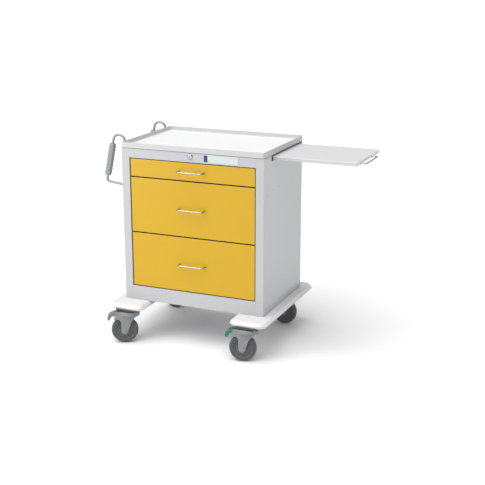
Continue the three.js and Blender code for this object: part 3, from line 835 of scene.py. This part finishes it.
def bumperRail(hand, side):
    look = railLook
    node = f"{hand}_base_rail"
    low, high = cartBox(node)
    bottom, top, deep = look["bottomRadius"], look["topRadius"], look["grooveDepth"]
    groove = low.z + look["grooveFrom"]
    grooveTop = groove + look["grooveWidth"]
    profile = softProfile([
        (bottom + 2, low.z), (0, low.z), (0, groove), (deep, groove + 0.5), (deep, grooveTop - 0.5),
        (0, grooveTop), (0, high.z), (top + 4, high.z),
    ], [bottom, 0.3, 0.2, 0.2, 0.3, top], 6)
    corners = [look["outerCorner"]] * 2 + [look["innerCorner"]] * 2
    if side < 0:
        corners = corners[::-1]
    pocketLow = (low.x + look["wall"], low.y + look["pocketEnd"])
    pocketHigh = (high.x - look["wall"], high.y - look["pocketEnd"])
    roof = high.z - look["pocketTop"]
    rings = [roundedRing(pocketLow, pocketHigh, [look["pocketCorner"]] * 4, inset, z, "Z", look["steps"])
             for inset, z in ((1.5, roof), (0, roof - 1.5), (0, low.z))]
    rings += [roundedRing(low, high, corners, inset, z, "Z", look["steps"]) for inset, z in profile]
    bm = bmesh.new()
    loft(bm, rings)
    finished(f"{hand}_bumper_rail", bm, "railPlastic", "root", [node])


bumperRail("left", -1)
bumperRail("right", 1)
print("work tray and bumper rails done")

# Side shelf, its channels and its pull
shelfLook = {"corner": 6, "innerCorner": 2, "edge": 2.2, "bandDepth": 0.5, "bandAt": 4.5, "bandHalf": 0.8}
wireLook = {"radius": 3.3, "sides": 24, "bendSteps": 10, "tip": 0.5}
pullLook = {"reach": 24, "half": 55, "shelfHalf": 75, "bend": 10}


def sideShelf():
    look = shelfLook
    low, high = cartBox("side_shelf")
    band, half = high.z - look["bandAt"], look["bandHalf"]
    corners = [look["corner"]] * 2 + [look["innerCorner"]] * 2
    bm = bmesh.new()
    stack(bm, low, high, corners, softProfile([
        (5, low.z), (0, low.z), (0, band - half), (look["bandDepth"], band), (0, band + half),
        (0, high.z), (5, high.z),
    ], [look["edge"], 0.2, 0.2, 0.2, look["edge"]]))
    finished("work_shelf", bm, "shelfPlastic", "side_shelf", ["side_shelf"])
    for node in ("shelf_guide_front", "shelf_guide_rear"):
        carryOver(node, "zincSteel", 0.3)
    middle = cartMiddle("shelf_pull")
    front, back = middle.y - pullLook["shelfHalf"], middle.y + pullLook["shelfHalf"]
    start, out = high.x + 0.1, high.x + pullLook["reach"]
    path = [(x, y, middle.z) for x, y in ((start, front), (out, front), (out, back), (start, back))]
    wire("shelf_pull_wire", path, [pullLook["bend"]] * 2, wireLook, "chromeWire", "side_shelf",
         ["shelf_pull"])


sideShelf()
print("side shelf done")

# Drawers
drawerLook = {
    "faceRadius": 1.9, "sheet": 1.5, "faceCorner": 1.5, "wall": 1.2, "hem": 2.6, "hemDepth": 9,
    "boxCorner": 3, "boxHalf": 259, "boxHeight": {"bottom": 205, "middle": 205, "top": 60},
}
# the dark band round each drawer face, drawn as painted shade for the gap round it
gapShadeLook = {"behind": 1.3, "thick": 0.9, "end": 1.5}
runnerLook = {"half": 12.5, "deep": 4.6, "sheet": 1.3, "lip": 4, "start": 30, "length": 373}
hookLook = {"out": 10.5, "front": 26.5, "back": 29, "low": 28.9, "high": 37.9}


def drawerFace(body):
    look = drawerLook
    node = f"{body}_front"
    low, high = cartBox(node)
    sheet, corners = look["sheet"], [look["faceCorner"]] * 4
    bm = bmesh.new()
    stack(bm, low.xz, high.xz, corners, softProfile([
        (sheet + 8, low.y + sheet), (sheet, low.y + sheet), (sheet, high.y), (0, high.y), (0, low.y),
        (8, low.y),
    ], [0.4, 0.3, 0.3, look["faceRadius"]], 5), "Y", 4)
    finished(f"{body}_face", bm, "yellowPaint", body, [node])
    # a dark band round the face's edge, just behind its front: painted shade standing in for the shadow in
    # the gap round the face
    start, end, out = low.y + gapShadeLook["behind"], high.y - gapShadeLook["end"], -gapShadeLook["thick"]
    rings = [roundedRing(low.xz, high.xz, corners, inset, y, "Y", 4)
             for inset, y in ((0.2, start), (out, start + 0.3), (out, end), (0.2, end))]
    bm = bmesh.new()
    loft(bm, rings + rings[:1], False, False)
    finished(f"{body}_face_seal", bm, "sealDark", body)


def drawerBox(body, top):
    look = drawerLook
    node = f"{body}_tray"
    low, high = cartBox(node)
    wall, hem, half = look["wall"], look["hem"], look["boxHalf"]
    hemLow = top - look["hemDepth"]
    bm = bmesh.new()
    stack(bm, (-half, low.y), (half, high.y), [look["boxCorner"]] * 4, softProfile([
        (wall + 14, low.z + wall), (wall, low.z + wall), (wall, hemLow), (hem, hemLow + 1.2), (hem, top),
        (0, top), (0, low.z), (12, low.z),
    ], [2.2, 0.4, 0.3, 1.2, 1.2, 1.8]), steps=4)
    finished(f"{body}_box", bm, "trayPaint", body, [node])


def innerRunners(body, z):
    look = runnerLook
    half, sheet, lip = look["half"], look["sheet"], look["lip"]
    inner = drawerLook["boxHalf"] + 0.2
    outer = inner + look["deep"]
    lower = [(inner, -half), (outer, -half), (outer, -half + lip), (outer - sheet, -half + lip),
             (outer - sheet, -half + sheet), (inner + sheet, -half + sheet)]
    section = [(x, z + v) for x, v in lower] + [(x, z - v) for x, v in lower[::-1]]
    bm = bmesh.new()
    for side in (-1, 1):
        extrude(bm, [(side * x, v) for x, v in section], look["start"], look["start"] + look["length"])
    finished(f"{body}_inner_runners", bm, "zincSteel", body, edge=0.3)


def lockHook(body, z):
    look, half = hookLook, drawerLook["boxHalf"]
    low = (half - 0.6, look["front"], z + look["low"])
    high = (half + look["out"], look["back"], z + look["high"])
    bm = bmesh.new()
    block(bm, low, high)
    finished(f"{body}_lock_hook", bm, "zincSteel", body, edge=0.5)


def drawerPull(body):
    z = cartMiddle(f"{body}_pull").z
    face = cartBox(f"{body}_front")[0].y
    half, out = pullLook["half"], -pullLook["reach"]
    path = [(x, y, z) for x, y in ((-half, face - 0.1), (-half, out), (half, out), (half, face - 0.1))]
    wire(f"{body}_pull_wire", path, [pullLook["bend"]] * 2, wireLook, "chromeWire", body, [f"{body}_pull"])
    screws = [((side * half, face + drawerLook["sheet"], z), (0, 1, 0)) for side in (-1, 1)]
    hardware(f"{body}_pull_screws", "screw", screws, "zincSteel", body, 1.1)


for level in ("bottom", "middle", "top"):
    body = f"{level}_drawer"
    boxBottom = cartBox(f"{body}_tray")[0].z
    slideZ = cartMiddle(f"{body}_right_middle_slide").z
    drawerFace(body)
    drawerBox(body, max(boxBottom + drawerLook["boxHeight"][level], slideZ + runnerLook["half"]))
    innerRunners(body, slideZ)
    lockHook(body, slideZ)
    drawerPull(body)
    for hand in ("left", "right"):
        carryOver(f"{body}_{hand}_outer_slide", "zincSteel", 0.35)
        carryOver(f"{body}_{hand}_middle_slide", "zincSteel", 0.35)
print("drawers done")

# Lock and header plate
lockLook = {"bezel": 12, "body": 9.5, "plug": 7, "keyWidth": 2, "keyHeight": 8.4, "keyDepth": 6}
plateLook = {
    "left": 53, "right": 201, "bottom": 766.5, "top": 798, "thick": 0.9, "corner": 2.5, "border": 1.8,
    "recess": 0.35, "stripe": 16,
}


def drawerLock():
    look = lockLook
    low, high = cartBox("lock_barrel")
    middle = cartMiddle("lock_barrel")
    bm = bmesh.new()
    lathe(bm, softProfile([
        (look["plug"] + 0.3, low.y + 0.9), (look["plug"] + 0.9, low.y), (look["bezel"] - 1.2, low.y),
        (look["bezel"], -0.3), (look["body"], -0.3), (look["body"], high.y), (look["plug"] + 0.3, high.y),
    ], [0.3, 1.0, 0.3, 0, 0.4], 3), (middle.x, 0, middle.z), "Y", 64, loop=True)
    finished("lock_bezel", bm, "lockChrome", "root", ["lock_barrel"])
    bm = bmesh.new()
    extrude(bm, arc((middle.x, middle.z), look["bezel"] - 0.3, 0, 360, 6)[:-1], 1.8, 6)
    finished("lock_nut", bm, "zincSteel", "root", edge=0.6)

    plugLow, plugHigh = cartBox("lock_plug")
    bm = bmesh.new()
    lathe(bm, softProfile([
        (0, plugLow.y), (look["plug"], plugLow.y), (look["plug"], plugHigh.y), (0, plugHigh.y),
    ], [0.8, 0.5], 3), (middle.x, 0, middle.z), "Y", 64)
    obj = objectFrom("lock_plug_core", bm)
    cutter = bmesh.new()
    wide, tall = look["keyWidth"] / 2, look["keyHeight"] / 2
    block(cutter, (middle.x - wide, plugLow.y - 1, middle.z - tall),
          (middle.x + wide, plugLow.y + look["keyDepth"], middle.z + tall))
    cutAway(obj, objectFrom("keyway", cutter))
    roundEdges(obj, 0.2, 2)
    shade(obj)
    putOn(obj, "zincSteel", "lock_plug", ["lock_plug"])
    # a dark plate at the bottom of the keyway, painted shade for the depth of the keyhole
    bm = bmesh.new()
    depth = plugLow.y + look["keyDepth"] - 0.5
    block(bm, (middle.x - wide + 0.1, depth, middle.z - tall + 0.1),
          (middle.x + wide - 0.1, depth + 0.4, middle.z + tall - 0.1))
    putOn(objectFrom("keyway_floor", bm), "keyholeDark", "lock_plug")
    bm = bmesh.new()
    block(bm, (plugLow.x, plugHigh.y - 2.5, middle.z - 5), (middle.x + 5, plugHigh.y - 0.2, middle.z + 5))
    finished("lock_cam", bm, "zincSteel", "lock_plug", edge=0.5)
    carryOver("lock_bar", "zincSteel", 0.35)


def headerPlate():
    # a plain plate with a raised rim and a coloured end
    look = plateLook
    low, high = (look["left"], look["bottom"]), (look["right"], look["top"])
    back, face, border = -0.05, -look["thick"], look["border"]
    field = face + look["recess"]
    bm = bmesh.new()
    stack(bm, low, high, [look["corner"]] * 4, softProfile([
        (6, back), (0, back), (0, face), (border, face), (border + 0.4, field), (8, field),
    ], [0, 0.4, 0.3, 0.2], 3), "Y", 5)
    finished("header_plate", bm, "plateWhite", "root")
    bm = bmesh.new()
    inner = border + 0.8
    stripeLow = (low[0] + inner, low[1] + inner)
    stripeHigh = (low[0] + inner + look["stripe"], high[1] - inner)
    stack(bm, stripeLow, stripeHigh, [1] * 4, ((0, back), (0, face + 0.2), (0.2, face + 0.05)), "Y", 3)
    finished("header_plate_end", bm, "plateBlue", "root")


drawerLock()
headerPlate()
print("lock and header plate done")

# Push handles on the left side
rodLook = {"radius": 4.9, "sides": 28, "bendSteps": 14, "tip": 0.4}
handleLook = {
    "inner": -318, "outer": -366, "foot": -407, "top": 840, "low": 646, "wallZ": 635, "end": 735,
    "bends": [24, 24, 10],
}
gripLook = {
    "length": 136, "half": 12, "middle": 738, "ridges": 9, "ridgeDepth": 1.7, "endRadius": 6, "square": 3.2,
    "rings": 170, "around": 56,
}


def gripShell(place, y):
    look = gripLook
    leg = handleLook
    half, square = look["half"], look["square"]
    lean = math.atan2(leg["outer"] - leg["foot"], leg["top"] - leg["low"])
    share = (leg["top"] - look["middle"]) / (leg["top"] - leg["low"])
    middle = Vector((leg["outer"] + share * (leg["foot"] - leg["outer"]), y, look["middle"]))
    turn = Matrix.Translation(middle) @ Matrix.Rotation(lean, 4, "Y")
    length, end = look["length"], look["endRadius"]
    rings = []
    for i in range(look["rings"] + 1):
        t = length * i / look["rings"]
        fromEnd = min(t, length - t)
        tuck = end - math.sqrt(max(end * end - (end - fromEnd) ** 2, 0)) if fromEnd < end else 0
        fade = min(1, max(0, (fromEnd - 8) / 6))
        phase = math.tau * look["ridges"] * (t - 10) / (length - 20)
        ridge = -look["ridgeDepth"] * (0.5 + 0.5 * math.cos(phase)) * fade
        ring = []
        for k in range(look["around"]):
            angle = math.tau * k / look["around"]
            c, s = math.cos(angle), math.sin(angle)
            radius = half * (abs(c) ** square + abs(s) ** square) ** (-1 / square)
            toCabinet = max(0, c + 0.25) / 1.25
            radius += ridge * min(1, 1.6 * toCabinet) - tuck + 1.6 * toCabinet * fade
            ring.append(turn @ Vector((radius * c, radius * s, t - length / 2)))
        rings.append(ring)
    bm = bmesh.new()
    loft(bm, rings)
    finished(f"push_grip_{place}_shell", bm, "gripRubber", "root", [f"push_grip_{place}"], angle=60)


def pushHandle(place):
    look = handleLook
    node = f"push_rod_{place}"
    y = cartMiddle(node).y
    wall = cartBox(node)[1].x
    path = [(x, y, z) for x, z in (
        (look["inner"], look["end"] + 12), (look["inner"], look["top"]), (look["outer"], look["top"]),
        (look["foot"], look["low"]), (wall - 1, look["wallZ"]),
    )]
    wire(f"push_rod_{place}_bar", path, look["bends"], rodLook, "handleRod", "root", [node])
    bm = bmesh.new()
    block(bm, (look["inner"] - 9, y - 12, look["end"]), (wall, y + 12, look["end"] + 26))
    finished(f"push_rod_{place}_clamp", bm, "handleRod", "root", edge=2.2, segments=4)
    bm = bmesh.new()
    flange = softProfile([(0, -4), (6, -4), (13, -2.4), (13, 0), (0, 0)], [0, 0.8, 0.4], 3)
    lathe(bm, flange, (wall, y, look["wallZ"]), "X", 40)
    finished(f"push_rod_{place}_flange", bm, "handleRod", "root")
    screws = [((look["inner"] + 2, y + side * 12, look["end"] + 13), (0, side, 0)) for side in (-1, 1)]
    hardware(f"push_rod_{place}_screws", "screw", screws, "zincSteel", "root", 0.9)
    gripShell(place, y)


for place in ("front", "rear"):
    pushHandle(place)
print("push handles done")

# Castors
forkLook = {"inner": 18.4, "outer": 23, "crown": 120, "axleEnd": 15, "voxel": 0.9, "faces": 26000}
castorPlateLook = {"thick": 4.7, "corner": 6, "boltAlong": 38, "boltAcross": 21.5}
wheelLook = {"segments": 96}
pedalLook = {"half": 17.8, "edge": 1.2, "pinRadius": 2.5, "ribs": 4}
castorTrail, axleHeight, crownTop = 18, 55, 134.7
castorAxes = {joint["name"][:-len("_wheel_spin")]: joint["axis"]
              for joint in frame["joints"] if joint["name"].endswith("_wheel_spin")}
castorTurns = {} # castor to how its turned parts stand in the cart
for castor, axis in castorAxes.items():
    middle = cartMiddle(f"{castor}_castor_plate")
    castorTurns[castor] = (Matrix.Translation((middle.x, middle.y, 0))
                           @ Matrix.Rotation(math.atan2(-axis[0], axis[1]), 4, "Z"))


def forkMesh():
    # crown, side plates, front web and axle bosses fused into one moulding about the swivel axis
    look = forkLook
    crown = look["crown"]
    plate = sweep((43.5, crown + 1), (12, 110), (3, 74))
    plate += arc((-castorTrail, axleHeight), look["axleEnd"], 14, -194, 20)
    plate += sweep((-castorTrail - look["axleEnd"] + 0.4, 84), (-34, 104), (-46, 104.5))
    plate += [(-58, 101.5), (-61, 102), (-61.5, 104.5)]
    plate += sweep((-58, 121), (-56.5, crownTop), (-49, crownTop), 4)
    plate += [(36, crownTop)] + sweep((36, crownTop), (44, crownTop), (44, crownTop - 6), 4)[1:]
    bm = bmesh.new()
    for side in (-1, 1):
        extrude(bm, plate, side * look["inner"], side * look["outer"])
        boss = [(r, side * out) for r, out in ((0, 0), (9.5, 0), (9, 2.2), (7.5, 2.4), (0, 2.4))]
        lathe(bm, boss, (-castorTrail, side * (look["outer"] - 0.2), axleHeight), "Y", 40)
    lathe(bm, [(0, crown - 2), (34, crown - 2), (38, crown + 3), (38, crownTop - 2), (36, crownTop),
               (0, crownTop)], (0, 0, 0), "Z", 64)
    loft(bm, [roundedRing((-40, -look["outer"]), (44, look["outer"]), [14, 14, 2, 2], 0, z, "Z", 8)
              for z in (crown - 1, crownTop)])
    web = [(20, crown + 2), (27, crown - 5), (43.5, crown - 1), (43.5, crown + 4)]
    extrude(bm, web, -look["inner"] - 1, look["inner"] + 1)
    bmesh.ops.recalc_face_normals(bm, faces=bm.faces)
    bmesh.ops.scale(bm, vec=(mm, mm, mm), verts=bm.verts)
    mesh = bpy.data.meshes.new("forkMoulding")
    bm.to_mesh(mesh)
    bm.free()
    obj = bpy.data.objects.new("forkMoulding", mesh)
    scene.collection.objects.link(obj)
    remesh = obj.modifiers.new("fuse", "REMESH")
    remesh.mode = "VOXEL"
    remesh.voxel_size = look["voxel"] * mm
    smooth = obj.modifiers.new("soften", "SMOOTH")
    smooth.factor = 0.5
    smooth.iterations = 5
    bakeModifiers(obj)
    thin = obj.modifiers.new("thin", "DECIMATE")
    thin.ratio = min(1.0, look["faces"] / (2 * len(obj.data.polygons)))
    bakeModifiers(obj)
    obj.data.shade_smooth()
    made = obj.data
    bpy.data.objects.remove(obj)
    return made


def forkPiece(castor, moulding):
    mesh = moulding.copy()
    mesh.transform(toRow @ castorTurns[castor] @ Matrix.Scale(1 / mm, 4))
    obj = bpy.data.objects.new(f"{castor}_fork_moulding", mesh)
    scene.collection.objects.link(obj)
    return putOn(obj, "castorGrey", f"{castor}_castor", [f"{castor}_castor_fork"])


def axleCaps(castor):
    # a shallow moulded cap over each end of the axle, and the sleeve that the hub runs on
    axle = (-castorTrail, 0, axleHeight)
    bm = bmesh.new()
    for side in (-1, 1):
        start = forkLook["outer"] + 2
        lathe(bm, [(0, side * (start + 0.8)), (3, side * (start + 0.7)), (5.4, side * (start + 0.3)),
                   (5.8, side * (start - 0.6)), (0, side * (start - 0.6))], axle, "Y", 36)
        lathe(bm, [(0, side * 25), (4, side * 25), (4.2, side * 16), (0, side * 16)], axle, "Y", 24)
    bm.transform(castorTurns[castor])
    finished(f"{castor}_axle_caps", bm, "castorGrey", f"{castor}_castor")


def castorPlate(castor):
    look = castorPlateLook
    node = f"{castor}_castor_plate"
    low, high = cartBox(node)
    middle = (low + high) / 2
    under = high.z - look["thick"]
    bm = bmesh.new()
    edge = softProfile([(3, under), (0, under), (0, high.z), (3, high.z)], [0.8, 0.8], 3)
    stack(bm, low, high, [look["corner"]] * 4, edge)
    race = [(0, high.z - 1), (29, high.z - 4), (29, high.z - 6.2), (27.6, high.z - 6.8), (27.6, high.z - 7.6),
            (28.6, high.z - 8.2), (28.6, high.z - 10), (26.5, high.z - 10.7), (0, high.z - 10.7)]
    lathe(bm, race, (middle.x, middle.y, 0), "Z", 72)
    stem = [(0, high.z - 11), (5.5, high.z - 11), (5.5, low.z + 0.4), (0, low.z + 0.4)]
    lathe(bm, stem, (middle.x, middle.y, 0), "Z", 24)
    finished(f"{castor}_mounting_plate", bm, "castorSteel", "root", [node])
    spots = [(sx * look["boltAlong"], sy * look["boltAcross"]) for sx in (-1, 1) for sy in (-1, 1)]
    bolts = [((middle.x + dx, middle.y + dy, under), (0, 0, -1)) for dx, dy in spots]
    hardware(f"{castor}_plate_bolts", "bolt", bolts, "zincSteel", "root", 0.62)


def wheelPieces(castor):
    hub = (-castorTrail, 0, axleHeight)
    half = [(6.4, 16.4), (11.6, 16.4), (12.8, 15.6), (13.6, 10.6), (15.4, 7.6), (19.5, 6.6), (20.3, 8.2),
            (22.1, 8.2), (23, 6.4), (29, 6.0), (30, 8.4), (32.4, 8.4), (33.2, 6.8), (34.8, 7.4),
            (36.2, 11.6), (37.4, 12.8), (40.1, 13)]
    bm = bmesh.new()
    section = [(r, -w) for r, w in half] + [(r, w) for r, w in half[::-1]]
    lathe(bm, section, hub, "Y", wheelLook["segments"], loop=True)
    bm.transform(castorTurns[castor])
    finished(f"{castor}_hub", bm, "wheelGrey", f"{castor}_wheel", [f"{castor}_wheel_hub"], angle=50)
    side = [(40.3, 13.2), (41.4, 14.6), (43.2, 15.4), (44.2, 15.3), (44.8, 13.8), (45.8, 13.8), (46.4, 15.4),
            (48.4, 15.7)]
    shoulder = softProfile([(48.4, 15.7), (53, 15.4), (54.6, 10), (55, 0)], [3.2, 2.6], 5)
    half = side + shoulder[1:-1]
    bm = bmesh.new()
    section = [(r, -w) for r, w in half] + [(55, -3), (55, 3)] + [(r, w) for r, w in half[::-1]]
    lathe(bm, section, hub, "Y", wheelLook["segments"], loop=True)
    bm.transform(castorTurns[castor])
    finished(f"{castor}_tyre_ring", bm, "tyreGrey", f"{castor}_wheel", [f"{castor}_tyre"], angle=50)


def pedalPiece(castor, node, finish):
    look = pedalLook
    top = [(-43, 129.8), (-49, 132.3), (-60, 131.5), (-68, 129)]
    top += sweep((-72, 127.4), (-86.5, 123.5), (-88, 108.5), 8)
    under = [(-88, 101), (-87, 100.2), (-78, 100.2), (-77, 101)]
    under += sweep((-76.5, 106), (-75, 114), (-66, 117), 8) + [(-58, 120), (-43.4, 121.4)]
    bm = bmesh.new()
    extrude(bm, top + under, -look["half"], look["half"])
    radius, reach = look["pinRadius"], forkLook["outer"]
    lathe(bm, [(0, -reach), (radius, -reach), (radius, reach), (0, reach)], (-50, 0, 127), "Y", 24)
    bm.transform(castorTurns[castor])
    body = bodyOf[node]
    finished(f"{castor}_pedal_moulding", bm, finish, body, [node], edge=look["edge"], segments=3)
    bm = bmesh.new()
    for i in range(look["ribs"]): # grip ribs across the tread
        share = i / (look["ribs"] - 1)
        u = -62 - 16 * share
        v = 130.6 - 6.6 * share * share - 1.4 * share
        rib = [(u + p, v + q) for p, q in arc((0, 0), 1.3, 0, 360, 12)[:-1]]
        extrude(bm, rib, -look["half"] + 3, look["half"] - 3)
    bm.transform(castorTurns[castor])
    finished(f"{castor}_pedal_ribs", bm, finish, body)


moulding = forkMesh()
print("fork moulding:", len(moulding.polygons), "faces")
pedals = {
    "front_left": ("front_left_brake_pedal", "pedalGrey"),
    "front_right": ("front_right_direction_pedal", "pedalGreen"),
    "rear_left": ("rear_left_brake_pedal", "pedalGrey"),
}
for castor in ("front_left", "front_right", "rear_left", "rear_right"):
    castorPlate(castor)
    forkPiece(castor, moulding)
    axleCaps(castor)
    wheelPieces(castor)
    if castor in pedals:
        pedalPiece(castor, *pedals[castor])
print("castors done")

# Camera, floor and light
cameraLook = {
    "place": (1696.6, -3477.2, 1533.7), "down": 0.276, "turn": 0.402, "lens": 74.97, "sensor": 36, "far": 600,
}
floorLook = {"half": 140.0, "color": (0.9, 0.9, 0.9, 1), "rough": 0.9, "specular": 0.1}
studio = { # direction toward the light, its strength and how wide it is, in degrees
    "overhead": {"toward": (-0.12, -0.32, 0.94), "strength": 2.5, "width": 64},
}
softBox = {"place": (-1150, -1500, 950), "aim": (0, 100, 450), "size": 1.0, "power": 8}
worldLook = {"light": 0.5, "seen": 1.0}


def cameraAndFloor():
    data = bpy.data.cameras.new("camera")
    data.lens = cameraLook["lens"]
    data.sensor_width = cameraLook["sensor"]
    data.clip_end = cameraLook["far"]
    camera = bpy.data.objects.new("camera", data)
    camera.location = toRow @ Vector(cameraLook["place"])
    camera.rotation_euler = (math.pi / 2 - cameraLook["down"], 0, cameraLook["turn"])
    scene.collection.objects.link(camera)
    scene.camera = camera
    half = floorLook["half"]
    mesh = bpy.data.meshes.new("floor")
    corners = [(-half, -half, 0), (half, -half, 0), (half, half, 0), (-half, half, 0)]
    mesh.from_pydata(corners, [], [(0, 1, 2, 3)])
    floor = bpy.data.objects.new("floor", mesh)
    scene.collection.objects.link(floor)
    material = bpy.data.materials.new("floorPaper")
    material.use_nodes = True
    shader = material.node_tree.nodes["Principled BSDF"]
    shader.inputs["Base Color"].default_value = floorLook["color"]
    shader.inputs["Roughness"].default_value = floorLook["rough"]
    shader.inputs["Specular IOR Level"].default_value = floorLook["specular"]
    mesh.materials.append(material)


def studioLights():
    for name, look in studio.items():
        data = bpy.data.lights.new(name, "SUN")
        data.energy = look["strength"]
        data.angle = math.radians(look["width"])
        light = bpy.data.objects.new(name, data)
        light.rotation_euler = (-Vector(look["toward"])).to_track_quat("-Z", "Y").to_euler()
        scene.collection.objects.link(light)
    data = bpy.data.lights.new("softBox", "AREA")
    data.shape = "DISK"
    data.size = softBox["size"]
    data.energy = softBox["power"]
    light = bpy.data.objects.new("softBox", data)
    light.location = toRow @ Vector(softBox["place"])
    toward = Vector(softBox["aim"]) - Vector(softBox["place"])
    light.rotation_euler = toward.to_track_quat("-Z", "Y").to_euler()
    scene.collection.objects.link(light)
    world = bpy.data.worlds.new("studioWorld")
    world.use_nodes = True
    tree = world.node_tree
    background = tree.nodes["Background"]
    background.inputs["Color"].default_value = (1, 1, 1, 1)
    seen = tree.nodes.new("ShaderNodeLightPath").outputs["Is Camera Ray"]
    strength = remap(tree, seen, 0.0, 1.0, worldLook["light"], worldLook["seen"])
    feed(tree, background.inputs["Strength"], strength)
    scene.world = world
    scene.view_settings.view_transform = "Standard"


cameraAndFloor()
studioLights()
print("camera, floor and light done")
